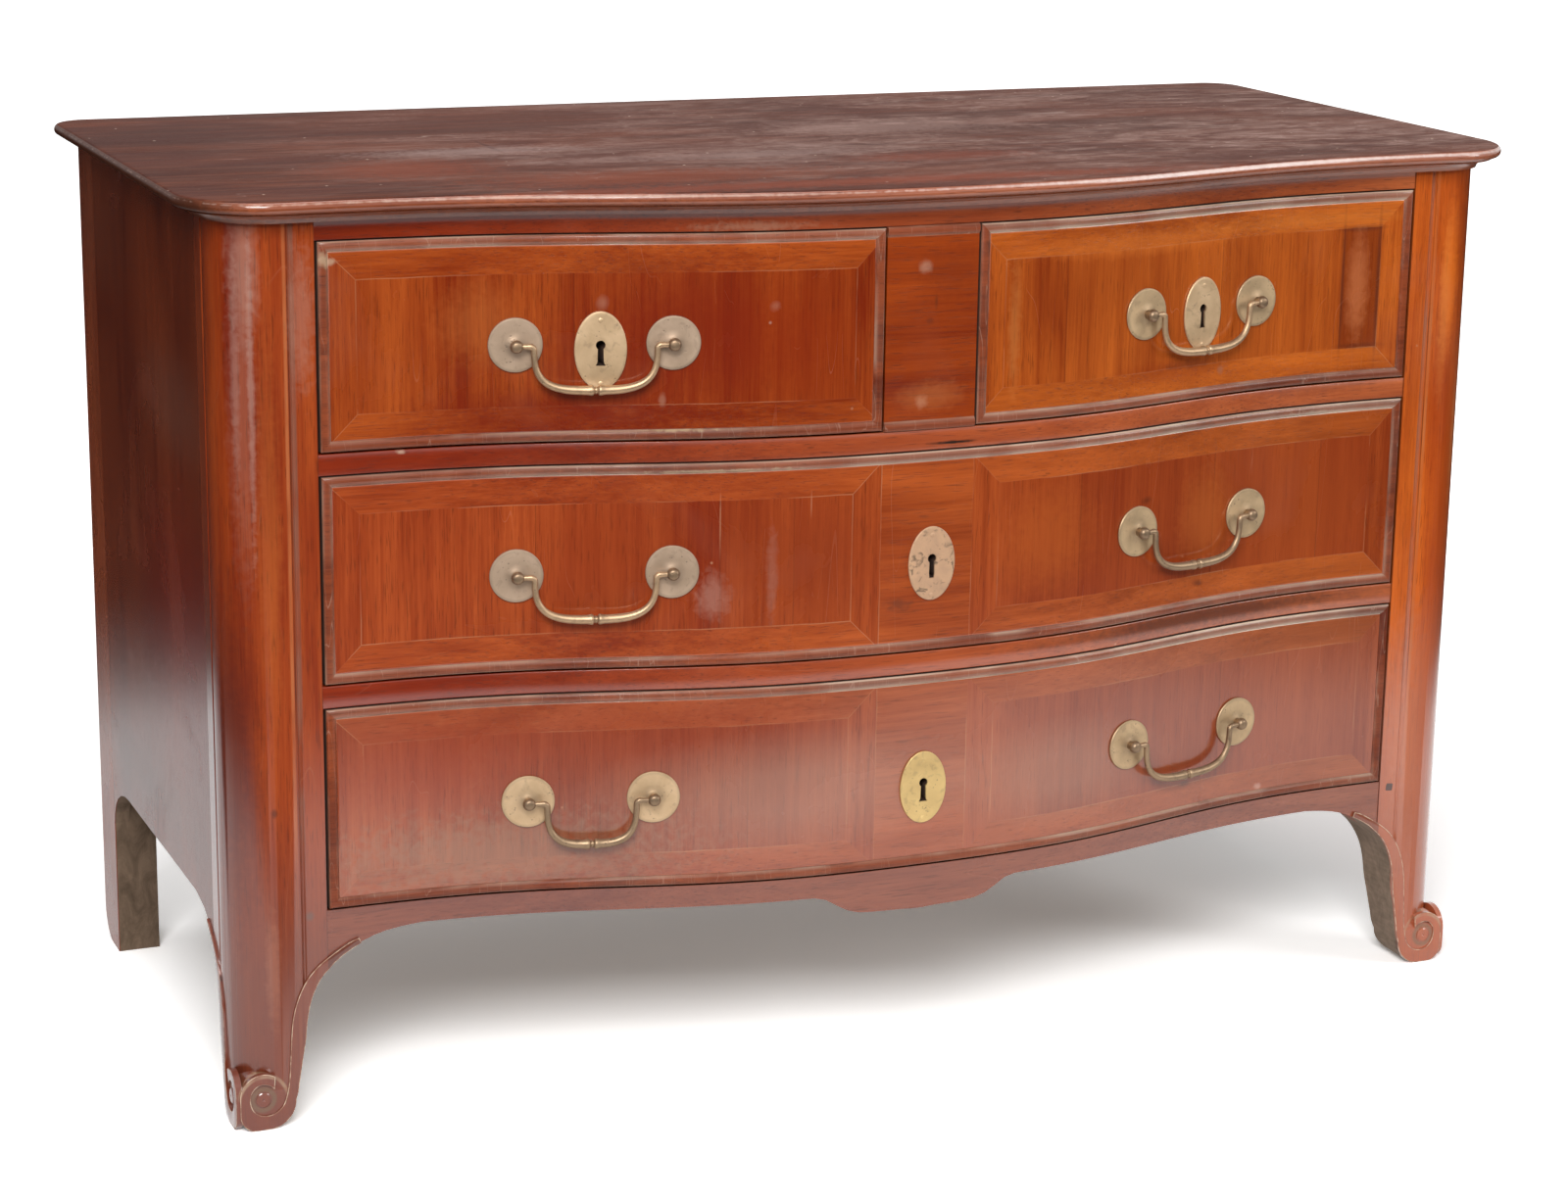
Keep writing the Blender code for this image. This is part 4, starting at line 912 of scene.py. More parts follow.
def top_plan():
    """The top seen from above at its widest."""
    half = []
    for x in evenly(0, FRONT_HALF, 44):
        out = Vector((front_slope(x), -1)).normalized() * TOP_FRONT
        half.append((x + out.x, front_line(x) + out.y))
    for turn in evenly(-math.pi / 2, 0, 20):
        half.append((CORNER_CENTRE + (CORNER_RADIUS + TOP_SIDE) * math.cos(turn),
                     CORNER_RADIUS + (CORNER_RADIUS + TOP_FRONT) * math.sin(turn)))
    for turn in evenly(0, math.pi / 2, 12):
        half.append((CASE_HALF + TOP_SIDE - TOP_BACK_RADIUS * (1 - math.cos(turn)),
                     CASE_BACK + TOP_BACK - TOP_BACK_RADIUS * (1 - math.sin(turn))))
    return half + [(-x, y) for x, y in reversed(half[1:])]


nose_middle = TOP_HIGH - NOSE
top = sawn_board("moulded_top", [(x, y + FLAT_FRONT, nose_middle) for x, y in top_plan()],
                 (0, 0, -FLAT_EDGE))
take_up(top)
pick(top, "faces", lambda face: face.normal.z > 0.9 and len(face.verts) > 20)
arc = evenly(0, math.pi / 2, 6)
for before, after in zip(arc, arc[1:]):
    bpy.ops.mesh.inset(thickness=NOSE * (math.cos(before) - math.cos(after)),
                       depth=NOSE * (math.sin(after) - math.sin(before)), use_even_offset=True)
bpy.ops.mesh.inset(thickness=0.004, depth=0)
pick(top, "faces", lambda face: face.normal.z < -0.9 and len(face.verts) > 20)
for before, after in zip(arc, arc[1:]):
    bpy.ops.mesh.inset(thickness=NOSE * (math.cos(before) - math.cos(after)),
                       depth=NOSE * (math.sin(after) - math.sin(before)) * UNDER_NOSE, use_even_offset=True)
bpy.ops.mesh.inset(thickness=0.0028, depth=0)
bpy.ops.mesh.inset(thickness=0.0002, depth=0.002)
hollow_drop = nose_middle - FLAT_EDGE - NOSE * UNDER_NOSE - 0.002 - TOP_LOW
for before, after in zip(arc, arc[1:]):
    bpy.ops.mesh.inset(thickness=0.015 * (math.sin(after) - math.sin(before)) * 0.92 + 0.0002,
                       depth=hollow_drop * (math.cos(before) - math.cos(after)), use_even_offset=True)
lay_down_tools()
smooth(top, 38)


def dusty_top():
    """Level grain under a dull, dusty polish with rubbed streaks, scratches and a few round stains; the pale
    dust layer also carries painted reflection.
    """
    material, shader, place = open_material("dusty_polished_top_with_painted_sheen")
    level = laid_along_x(place)
    grain = grouped(grain_group, Place=level, Pale=(0.14, 0.036, 0.016), Dark=(0.052, 0.012, 0.006),
                    Figure=1.5)
    worn = grouped(wear_group, Place=level, Amount=1.0)
    parts = split(place)
    clouds = cloud(stretched(place, (0.45, 1.2, 1)), 7.0, 6.0, 0.9, 0.62)
    streaks = cloud(stretched(place, (0.22, 1, 1)), 30.0, 8.0, 1.2, 0.76)
    swirls = cloud(stretched(place, (0.55, 1.1, 1)), 15.0, 7.0, 2.2, 0.66)
    # A pale layer, partly dust and partly painted reflection of the polish, lies thickest on the right half
    # and thins toward the left, the back and the front edge
    dust_and_sheen = times(ramp(parts["X"], -0.6, 0.22, 0.06), ramp(parts["Y"], 0.42, 0.1, 0.6),
                 ramp(parts["Y"], -0.36, -0.2, 0.45), ramp(clouds, 0.4, 0.56, 0.35),
                 ramp(swirls, 0.38, 0.58, 0.4))
    drift = ramp(cloud(stretched(place, (0.5, 1.1, 1)), 34.0, 6.0, 2.6, 0.7), 0.42, 0.62)
    dust_and_sheen_tone = blend((0.215, 0.118, 0.096), (0.375, 0.245, 0.21), drift)
    colour = blend(grain["Color"], dust_and_sheen_tone, dust_and_sheen, 0.92)
    fine = cloud(stretched(place, (0.1, 1, 1)), 170.0, 3.0, 0.3, 0.6)
    colour = blend(colour, (0.09, 0.03, 0.021), ramp(fine, 0.5, 0.7, 0.0, 0.4))
    # Pale rubs left of the middle, where dust has been wiped about
    here = ramp(sums("ABSOLUTE", sums("ADD", parts["X"], 0.18)), 0.42, 0.12, 0.1)
    rubs = times(ramp(scaled(streaks, 0.55, times(clouds, 0.55)), 0.55, 0.65), here)
    colour = blend(colour, (0.33, 0.22, 0.195), rubs, 0.45)
    dark = ramp(cloud(stretched(place, (0.4, 1.4, 1)), 11.0, 6.0, 1.4, 0.65), 0.49, 0.6)
    colour = blend(colour, (0.08, 0.025, 0.018), dark, 0.55)
    # Places where the old red polish still shows, dark and pale patches, and one thin dark stain
    lying = gathered(X=parts["X"], Z=parts["Y"])
    colour = marked(lying, colour, (
        (-0.43, -0.1, 0.08, 0.06, 0.7, 0.55, (0.21, 0.046, 0.02)),
        (-0.23, -0.21, 0.15, 0.045, 0.7, 0.6, (0.2, 0.044, 0.018)),
        (0.08, -0.15, 0.09, 0.03, 0.7, 0.5, (0.21, 0.046, 0.022)),
        (-0.1, -0.29, 0.42, 0.022, 0.7, 0.6, (0.225, 0.046, 0.02)),
        (-0.3, 0.18, 0.22, 0.09, 0.9, 0.4, (0.085, 0.03, 0.022)),
        (0.115, 0.065, 0.12, 0.05, 0.6, 0.35, (0.38, 0.25, 0.215)),
        (-0.13, -0.02, 0.08, 0.035, 0.7, 0.45, (0.11, 0.042, 0.032)),
        (-0.31, 0.026, 0.003, 0.04, 0.35, 0.65, (0.06, 0.02, 0.016)),
        (-0.33, 0.0, 0.11, 0.028, 0.7, 0.4, (0.36, 0.255, 0.23)),
        (-0.1, -0.09, 0.16, 0.022, 0.8, 0.32, (0.35, 0.24, 0.215)),
        (-0.56, 0.2, 0.09, 0.11, 0.6, 0.3, (0.075, 0.03, 0.024))))
    # Two faint rings where something round has stood
    for across, back, radius in ((0.1, 0.12, 0.085), (0.205, 0.05, 0.055)):
        away = vectors("DISTANCE", in_0=place, in_1=(across, back, TOP_HIGH))["Value"]
        ring = ramp(apart(away, radius), 0.006, 0.001)
        colour = blend(colour, (0.34, 0.22, 0.19), ring, ramp(clouds, 0.4, 0.6), 0.24)
    colour = blend(colour, (0.42, 0.3, 0.26), worn["Scratch"], 0.6)
    grit = ramp(specks(place, 36.0), 0.06, 0.035)
    colour = blend(colour, (0.62, 0.48, 0.38), grit, ramp(clouds, 0.46, 0.52), 0.8)
    colour = blend(colour, (0.4, 0.27, 0.22), worn["Knock"], 0.45)
    height = scaled(cloud(place, 18.0, 3.0), 2.2, grain["Relief"])
    height = scaled(worn["Scratch"], -0.8, height)
    fill(shader, Base_Color=colour, Roughness=scaled(dust_and_sheen, 0.12, ramp(rubs, 0.0, 1.0, 0.34, 0.55)),
         Normal=raised(height, 0.35, 0.0005), Specular_IOR_Level=0.002)
    return material


for face in top.data.polygons:
    face.material_index = 0 if face.normal.z > 0.9 else 1
# The edge's marks: a darker left end, a cream painted highlight along the nose's crest on the right and a
# thinner pale one on the left, and painted shadow in dark lines under the nose and along the hollow
EDGE_MARKS = ((-0.672, 0.846, 0.042, 0.03, 0.2, 0.95, (0.06, 0.02, 0.011)),
              (0.34, 0.849, 0.33, 0.0013, 0.25, 0.75, (0.9, 0.76, 0.7)),
              (-0.33, 0.849, 0.26, 0.001, 0.5, 0.7, (0.62, 0.42, 0.34)),
              (-0.33, 0.83, 0.3, 0.005, 0.5, 0.55, (0.085, 0.03, 0.026)),
              (0.25, 0.842, 0.33, 0.0018, 0.6, 0.4, (0.16, 0.05, 0.03)),
              (0.1, 0.836, 0.55, 0.0014, 0.6, 0.35, (0.12, 0.04, 0.03)))
top_face = dusty_top()
edge_polish = polished_level("polished_top_edge", (0.34, 0.092, 0.036), (0.15, 0.03, 0.011),
                             (0.42, 0.145, 0.08), (0.21, 0.056, 0.028), 1.6, 0.32, EDGE_MARKS, True)
cover(top, top_face, edge_polish)
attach(top, "case")
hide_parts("top")

# Drawer fronts. Each is a curved board faced with thin mahogany: upright grain inside a thin pale
# line, and a mitred border whose grain runs along it. The long fronts are two such panels beside a
# middle strip of level grain. A rounded moulding stands up round each edge, rubbed pale on its crest,
# with a painted highlight along the upper one.
FRONT_THICKNESS = 0.024
MOULDING = ((0.0006, 0.0011), (0.001, 0.0007), (0.0014, 0.0003), (0.002, 0.0001), (0.0016, -0.0003),
            (0.0012, -0.0008), (0.0008, -0.0009), (0.0004, -0.0005), (0.0005, 0.0003),
            (0.001, 0.0))
MOULDING_WIDTH = 0.0095
KEYHOLE_DEPTH, SAW_ROOM = 0.018, 0.012
FIELD_NEAR, FIELD_FAR = 0.0745, 0.518
STRIP_HALF = 0.0465


def write_points(piece, title, share):
    """Writes a number on each point of a piece, from where the point lies."""
    numbers = piece.data.attributes.new(title, "FLOAT", "POINT").data
    for number, point in zip(numbers, piece.data.vertices):
        number.value = share(point.co)


def rubbed_share(rim):
    """How far the polish has gone from the moulding, at a distance in from the drawer's edge."""
    return read_off(((0, 0.9), (0.0007, 0.8), (0.0014, 0.08), (0.006, 0.1), (0.0074, 0.35),
                     (0.0083, 1.0), (0.009, 0.8), (0.0097, 0.1), (1.0, 0.0)), max(0, rim))


def make_front(name, node):
    lowest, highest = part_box(node)
    front = squared_board(name, (lowest[0], FLAT_FRONT, lowest[2]),
                          (highest[0], FLAT_FRONT + FRONT_THICKNESS, highest[2]),
                          round((highest[0] - lowest[0]) / 0.0145))
    take_up(front)
    pick(front, "faces", lambda face: face.normal.y < -0.9)
    for width, rise in MOULDING:
        bpy.ops.mesh.inset(thickness=width, depth=rise, use_boundary=True, use_even_offset=True)
    lay_down_tools()
    middle_x = (lowest[0] + highest[0]) / 2
    half_x = (highest[0] - lowest[0]) / 2
    middle_z = (lowest[2] + highest[2]) / 2
    half_z = (highest[2] - lowest[2]) / 2
    for face in front.data.polygons:
        rim = min(half_x - abs(face.center.x - middle_x), half_z - abs(face.center.z - middle_z))
        face.material_index = 1 if rim < MOULDING_WIDTH and face.normal.y < 0.5 else 0
        if face.normal.y > 0.9:
            face.material_index = 2
        # The board's edges take the near-black finish: painted shade in the gaps round the drawer, over dirty
        # wood
        if abs(face.normal.y) < 0.1 and rim < 0.0001:
            face.material_index = 3
    shift_rows(front, 0, lambda x: (0, front_line(x), 0))
    return front


def keyhole_outline(x, z, foot=0.0042, wider=0.0):
    """A keyhole round the middle of its plate: a round head above a slot with a spread foot."""
    head, neck = 0.0043 + wider, 0.0026 + wider
    turn = math.asin(neck / head)
    right = [(foot, -0.0139 - wider), (foot + 0.0001, -0.0132), (foot - 0.0004, -0.0126),
             ((foot + neck) / 2, -0.0121), (neck + 0.0002, -0.01), (neck, -0.001)]
    line = right + [(head * math.cos(a), 0.0046 + head * math.sin(a))
                    for a in evenly(turn - math.pi / 2, 3 * math.pi / 2 - turn, 20)]
    line += [(-across, up) for across, up in reversed(right)]
    return [(x + across, z + up) for across, up in line]


def veneer(name, two_panels, low, high, tones, seams, marks):
    """The face of a drawer front, laid out from the chest's middle and the drawer's own height."""
    material, shader, place = open_material(name)
    parts = split(place)
    x, z = sums("ABSOLUTE", parts["X"]), parts["Z"]
    wobble = scaled(cloud(place, 30.0), 0.0016, -0.0008)
    x = sums("ADD", x, wobble)
    across = sums("SUBTRACT", x, (FIELD_NEAR + FIELD_FAR) / 2)
    across = sums("SUBTRACT", sums("ABSOLUTE", across), (FIELD_FAR - FIELD_NEAR) / 2)
    up = apart(z, (low + high) / 2)
    up = sums("SUBTRACT", sums("ADD", up, wobble), (high - low) / 2)
    edge = sums("MAXIMUM", across, up)
    border = sums("GREATER_THAN", edge, 0.0)
    level_border = times(border, sums("GREATER_THAN", up, across))
    strip = sums("LESS_THAN", x, STRIP_HALF) if two_panels else 0.0
    level_here = sums("MAXIMUM", level_border, strip)
    level = laid_along_x(place)
    turned = wire("Mix", set_data_type="VECTOR", in_0=level_here, in_4=place, in_5=level)
    pale = sunned(place, tones[0], tones[2])
    dark = sunned(place, tones[1], tones[3])
    grain = grouped(grain_group, Place=turned.outputs[1], Pale=pale, Dark=dark, Figure=1.0)
    colour = grain["Color"]
    # Leaves of veneer side by side differ a little in tone, and meet in a dark hairline
    inside = sums("SUBTRACT", 1.0, border)
    for seam, darker in seams:
        leaf = sums("SUBTRACT", sums("ADD", parts["X"], wobble), seam)
        beyond = sums("GREATER_THAN", leaf, 0.0)
        colour = blend(colour, tones[1] if darker > 0 else tones[2], beyond, inside, abs(darker))
        hair = ramp(sums("ABSOLUTE", leaf), 0.0008, 0.0002)
        colour = blend(colour, (0.09, 0.016, 0.004), hair, inside, 0.45)
    colour = blend(colour, (0.56, 0.16, 0.022), level_here, ramp(parts["X"], -0.2, 0.5, 0.02, 0.2))
    shade = ramp(cloud(place, 3.2, 2.0, 0.2), 0.42, 0.68)
    colour = blend(colour, tones[1], shade, 0.3)
    # The pale line round the field, the mitres and the joints, broken where they have worn away
    here = ramp(cloud(place, 11.0, 3.0, 0.4), 0.44, 0.6, 0.06, 0.8)
    line = ramp(sums("ABSOLUTE", edge), 0.0007, 0.00025)
    mitre = times(ramp(apart(across, up), 0.0008, 0.0002), border)
    line = sums("MAXIMUM", line, mitre)
    if two_panels:
        joint = ramp(apart(x, STRIP_HALF), 0.0007, 0.0003)
        line = times(line, sums("GREATER_THAN", x, STRIP_HALF - 0.0005))
        line = sums("MAXIMUM", line, joint)
    line = times(line, here)
    colour = blend(colour, (0.5, 0.22, 0.1), line, 0.55)
    colour = marked(place, colour, marks)
    finish_polish(shader, colour, scaled(line, -0.5, grain["Relief"]), place, 1.0, 0.27)
    return material


def rubbed_moulding(name):
    """The drawers' edge moulding: brown polish worn to pale, dusty wood along its crest, with a painted
    highlight along the upper crest.
    """
    material, shader, place = open_material(name)
    grain = grouped(grain_group, Place=laid_along_x(place), Pale=(0.24, 0.05, 0.016),
                    Dark=(0.11, 0.018, 0.006), Figure=1.2)
    crest, upper = written(place, "rubbed"), written(place, "upper")
    patches = ramp(cloud(stretched(place, (0.4, 1, 0.4)), 26.0, 4.0, 0.6), 0.38, 0.62)
    colour = blend(grain["Color"], (0.43, 0.27, 0.19), crest, patches, 0.62)
    # A painted highlight: the upper moulding, and faintly the lower, is painted cream along its crest over
    # the wear and a little paler all over, more so toward the right
    bare = times(upper, ramp(split(place)["X"], -0.3, 0.35, 0.22, 0.95),
                 ramp(patches, 0.0, 1.0, 0.45))
    colour = blend(colour, (0.8, 0.68, 0.52), bare, crest)
    colour = blend(colour, (0.56, 0.42, 0.31), bare, 0.12)
    cracks = ramp(apart(cloud(stretched(place, (1, 0.1, 0.1)), 90.0, 1.0), 0.5), 0.006, 0.0)
    colour = blend(colour, (0.5, 0.33, 0.24), cracks, 0.3)
    # Chips down to pale, yellowed wood
    colour = marked(place, colour, (
        (-0.235, 0.635, 0.026, 0.0018, 0.9, 0.65, (0.48, 0.35, 0.2)),
        (-0.2, 0.596, 0.06, 0.0016, 1.0, 0.6, (0.45, 0.33, 0.2)),
        (-0.545, 0.796, 0.01, 0.006, 0.6, 0.6, (0.48, 0.35, 0.22)),
        (-0.08, 0.64, 0.005, 0.006, 0.4, 0.6, (0.09, 0.035, 0.02)),
        (0.09, 0.642, 0.035, 0.006, 0.7, 0.5, (0.13, 0.045, 0.03)),
        (0.06, 0.79, 0.008, 0.008, 0.5, 0.7, (0.06, 0.02, 0.012)),
        (0.44, 0.593, 0.03, 0.005, 0.8, 0.6, (0.42, 0.33, 0.24))))
    fill(shader, Base_Color=colour, Roughness=ramp(patches, 0.0, 1.0, 0.36, 0.52),
         Normal=raised(grain["Relief"], 0.3, 0.0004), Coat_Weight=ramp(upper, 0.0, 1.0, 0.1, 0.55),
         Coat_Roughness=0.12, Specular_IOR_Level=0.2)
    return material


moulding_finish = rubbed_moulding("rubbed_moulding")
# The near-black edge finish is dirty wood darkened into painted shade, for the drawer fronts' edges in their
# gaps and the keyholes' walls
dark_edge = rough_sawn("dirty_drawer_edge_painted_shade", (0.06, 0.026, 0.014), (0.022, 0.01, 0.006))
LEFT_TONES = ((0.445, 0.088, 0.012), (0.185, 0.016, 0.001), (0.345, 0.052, 0.006), (0.15, 0.011, 0.001))
RIGHT_TONES = ((0.29, 0.046, 0.005), (0.14, 0.014, 0.001), (0.67, 0.155, 0.017), (0.29, 0.04, 0.003))
LONG_TONES = ((0.425, 0.078, 0.015), (0.195, 0.018, 0.003), (0.44, 0.088, 0.014), (0.215, 0.03, 0.003))
LOW_TONES = ((0.37, 0.082, 0.026), (0.185, 0.027, 0.008), (0.39, 0.094, 0.032), (0.215, 0.039, 0.012))
# What each front bears: its drawer, name, two panels or one, field's low and high edge, tones,
# keyhole, seams (where, and how much darker beyond) and marks
FRONTS = (
    ("left_drawer", "left_front_board", False, 0.658, 0.777, LEFT_TONES, (-0.3035, 0.708),
     ((-0.42, 0.2), (-0.3265, -0.1), (-0.19, 0.12)),
     ((-0.3016, 0.75, 0.005, 0.0065, 0.25, 0.42, (0.42, 0.22, 0.15)),
      (-0.41, 0.735, 0.035, 0.035, 0.3, 0.3, (0.5, 0.14, 0.03)),
      (-0.35, 0.65, 0.11, 0.022, 0.3, 0.65, (0.15, 0.008, 0.001)),
      (-0.25, 0.662, 0.003, 0.006, 0.4, 0.4, (0.5, 0.28, 0.18)),
      (-0.155, 0.73, 0.0014, 0.0014, 0.2, 0.6, (0.65, 0.45, 0.32)),
      (-0.15, 0.745, 0.0045, 0.004, 0.6, 0.3, (0.55, 0.3, 0.2)),
      (-0.539, 0.794, 0.005, 0.003, 0.6, 0.6, (0.5, 0.36, 0.24)),
      (-0.23, 0.72, 0.1, 0.06, 0.25, 0.6, (0.18, 0.01, 0.001)),
      (-0.13, 0.71, 0.05, 0.05, 0.25, 0.3, (0.24, 0.02, 0.001)),
      (-0.27, 0.783, 0.06, 0.006, 0.8, 0.25, (0.15, 0.02, 0.004)))),
    ("right_drawer", "right_front_board", False, 0.658, 0.777, RIGHT_TONES, (0.3035, 0.708),
     ((0.141, -0.18), (0.328, 0.22), (0.475, 0.6)),
     ((0.4752, 0.72, 0.0022, 0.07, 0.1, 0.6, (0.1, 0.02, 0.008)),
      (0.5165, 0.72, 0.0024, 0.07, 0.1, 0.7, (0.1, 0.02, 0.008)),
      (0.496, 0.7765, 0.026, 0.003, 0.1, 0.6, (0.1, 0.02, 0.008)),
      (0.496, 0.66, 0.026, 0.003, 0.1, 0.5, (0.1, 0.02, 0.008)),
      (0.493, 0.72, 0.012, 0.048, 0.3, 0.5, (0.56, 0.17, 0.06)),
      (0.11, 0.725, 0.05, 0.045, 0.25, 0.3, (0.2, 0.026, 0.003)),
      (0.275, 0.654, 0.07, 0.012, 0.25, 0.45, (0.24, 0.026, 0.002)),
      (0.23, 0.782, 0.11, 0.011, 0.3, 0.45, (0.66, 0.17, 0.025)),
      (0.29, 0.66, 0.03, 0.004, 0.7, 0.45, (0.14, 0.03, 0.01)),
      (0.331, 0.65, 0.004, 0.004, 0.3, 0.5, (0.25, 0.12, 0.08)),
      (0.085, 0.71, 0.006, 0.055, 0.5, 0.3, (0.62, 0.22, 0.05)),
      (0.44, 0.648, 0.09, 0.01, 0.3, 0.35, (0.66, 0.15, 0.015)),
      (0.43, 0.788, 0.12, 0.008, 0.3, 0.3, (0.66, 0.2, 0.03)))),
    ("middle_drawer", "middle_front_board", True, 0.449, 0.5686, LONG_TONES, (0.005, 0.498),
     ((-0.36, 0.22), (-0.198, -0.15), (-0.13, 0.12), (0.165, 0.2), (0.33, -0.2), (0.46, 0.18)),
     ((-0.198, 0.547, 0.0007, 0.026, 0.15, 0.45, (0.56, 0.26, 0.14)),
      (-0.1142, 0.5614, 0.0007, 0.011, 0.15, 0.45, (0.56, 0.26, 0.14)),
      (0.2442, 0.5325, 0.006, 0.0035, 0.35, 0.7, (0.11, 0.02, 0.005)),
      (0.3144, 0.4408, 0.006, 0.003, 0.35, 0.7, (0.11, 0.02, 0.005)),
      (-0.028, 0.46, 0.012, 0.005, 0.8, 0.55, (0.11, 0.03, 0.015)),
      (0.13, 0.51, 0.05, 0.045, 0.3, 0.22, (0.6, 0.14, 0.02)),
      (0.32, 0.505, 0.03, 0.045, 0.3, 0.25, (0.58, 0.16, 0.03)),
      (0.43, 0.515, 0.08, 0.045, 0.3, 0.1, (0.24, 0.04, 0.008)),
      (-0.32, 0.515, 0.09, 0.06, 0.3, 0.3, (0.22, 0.022, 0.002)),
      (-0.205, 0.48, 0.014, 0.02, 0.6, 0.35, (0.46, 0.25, 0.19)),
      (-0.15, 0.5, 0.005, 0.04, 0.6, 0.3, (0.46, 0.25, 0.19)),
      (-0.12, 0.512, 0.07, 0.05, 0.3, 0.45, (0.22, 0.028, 0.005)))),
    ("bottom_drawer", "bottom_front_board", True, 0.237, 0.356, LOW_TONES, (0.002, 0.2815),
     ((-0.34, 0.15), (-0.17, -0.12), (0.19, 0.15), (0.35, -0.15)),
     ((0.3084, 0.2369, 0.008, 0.0035, 0.35, 0.65, (0.12, 0.03, 0.01)),
      (0.4042, 0.2173, 0.0045, 0.0035, 0.5, 0.45, (0.6, 0.36, 0.28)),
      (-0.46, 0.335, 0.1, 0.048, 0.3, 0.5, (0.26, 0.026, 0.003)),
      (-0.26, 0.35, 0.17, 0.04, 0.35, 0.45, (0.25, 0.026, 0.003)),
      # The last three marks paint a pale, greyish reflection of the floor over the bottom drawer
      (-0.39, 0.243, 0.15, 0.035, 0.7, 0.45, (0.27, 0.15, 0.09)),
      (-0.13, 0.288, 0.15, 0.048, 0.12, 0.3, (0.42, 0.24, 0.17)),
      (0.15, 0.278, 0.11, 0.042, 0.12, 0.26, (0.44, 0.25, 0.17)))),
)
for drawer, name, two_panels, low, high, tones, (x, z), seams, marks in FRONTS:
    front = make_front(name, drawer + "_front")
    outside = FLAT_FRONT + front_line(x) - SAW_ROOM
    slot = [(across, outside, up) for across, up in keyhole_outline(x, z, 0.0046, 0.0004)]
    cut_with(front, sawn_board("slot", slot, (0, SAW_ROOM + KEYHOLE_DEPTH, 0)))
    # The keyhole's walls take the same near-black finish: painted shade down the hole
    for face in front.data.polygons:
        deep = face.center.y > FLAT_FRONT + front_line(face.center.x) + 0.0035
        near = abs(face.center.x - x) < 0.0065 and abs(face.center.z - z) < 0.016
        if near and deep and face.normal.y < 0.5:
            face.material_index = 3
    lowest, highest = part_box(drawer + "_front")
    write_points(front, "rubbed", lambda place: rubbed_share(min(
        place.x - lowest[0], highest[0] - place.x, place.z - lowest[2], highest[2] - place.z)))
    upper = front.data.attributes.new("upper", "FLOAT", "FACE")
    for face in front.data.polygons:
        down, up = highest[2] - face.center.z, face.center.z - lowest[2]
        share = 1.0 if down < MOULDING_WIDTH else 0.25 if up < MOULDING_WIDTH else 0.0
        upper.data[face.index].value = share
    smooth(front, 40)
    face_veneer = veneer(name + "_veneer", two_panels, low, high, tones, seams, marks)
    cover(front, face_veneer, moulding_finish, drawer_cross_wood, dark_edge)
    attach(front, drawer)
    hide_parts(drawer + "_front")

# The fixed panel between the top drawers. A short board of level grain on the same curve, with the
# drawers' moulding carried across only its upper and lower edges.
panel_low, panel_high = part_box("centre_panel")
panel = squared_board("fixed_centre_panel", (panel_low[0], FLAT_FRONT, panel_low[2]),
                      (panel_high[0], FLAT_FRONT + RAIL_BACK, panel_high[2]), 10)
take_up(panel)
depth_in, rise_out = 0.0, 0.0
panel_rows = []
for width, rise in MOULDING:
    depth_in, rise_out = depth_in + width, rise_out + rise
    panel_rows.append((depth_in, rise_out))
    for plane in (panel_low[2] + depth_in, panel_high[2] - depth_in):
        bpy.ops.mesh.select_all(action="SELECT")
        bpy.ops.mesh.bisect(plane_co=(0, 0, plane), plane_no=(0, 0, 1))
lay_down_tools()


def panel_moulding(z):
    inward = min(z - panel_low[2], panel_high[2] - z)
    for place, out in panel_rows:
        if abs(inward - place) < SAME_ROW:
            return (0, -max(out, 0), 0)
    return (0, 0, 0)


shift_rows(panel, 2, panel_moulding, lambda place: place.y < FLAT_FRONT + 0.005)
write_points(panel, "rubbed",
             lambda place: rubbed_share(min(place.z - panel_low[2], panel_high[2] - place.z)))
for face in panel.data.polygons:
    rim = min(face.center.z - panel_low[2], panel_high[2] - face.center.z)
    face.material_index = 1 if rim < MOULDING_WIDTH and face.normal.y < 0.5 else 0
curve_front(panel)
smooth(panel, 40)
PANEL_MARKS = ((-0.0074, 0.7749, 0.0055, 0.0055, 0.5, 0.55, (0.5, 0.27, 0.18)),
               (-0.009, 0.6506, 0.0055, 0.0055, 0.5, 0.5, (0.48, 0.24, 0.15)),
               (0.0, 0.656, 0.03, 0.013, 0.3, 0.35, (0.46, 0.14, 0.04)),
               (0.004, 0.742, 0.0016, 0.006, 0.4, 0.6, (0.1, 0.02, 0.006)),
               (-0.002, 0.725, 0.0035, 0.0035, 0.4, 0.55, (0.12, 0.02, 0.006)),
               (0.02, 0.77, 0.03, 0.022, 0.6, 0.35, (0.16, 0.02, 0.003)))
panel_polish = polished_level("polished_fixed_panel", (0.33, 0.05, 0.004), (0.16, 0.014, 0.001),
                              (0.33, 0.05, 0.004), (0.16, 0.014, 0.001), 0.9, 0.3, PANEL_MARKS)
cover(panel, panel_polish, moulding_finish)
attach(panel, "case")
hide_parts("centre_panel")

# Escutcheons. Oval plates of rolled brass with a filed, slightly sloping rim, each pinned above and
# below its keyhole. Old polish and dirt have dulled them; the lowest one has stayed yellower.
PLATE_HALF = (0.0235, 0.035)
PLATE_THICKNESS = 0.0012
PLATE_EDGE = ((0.0004, 0.0004), (0.0008, 0.0002), (0.0018, -0.0001), (0.003, 0.0001))
PIN_PLACES = (0.0268, -0.03)
SEAT_GAP = 0.0006


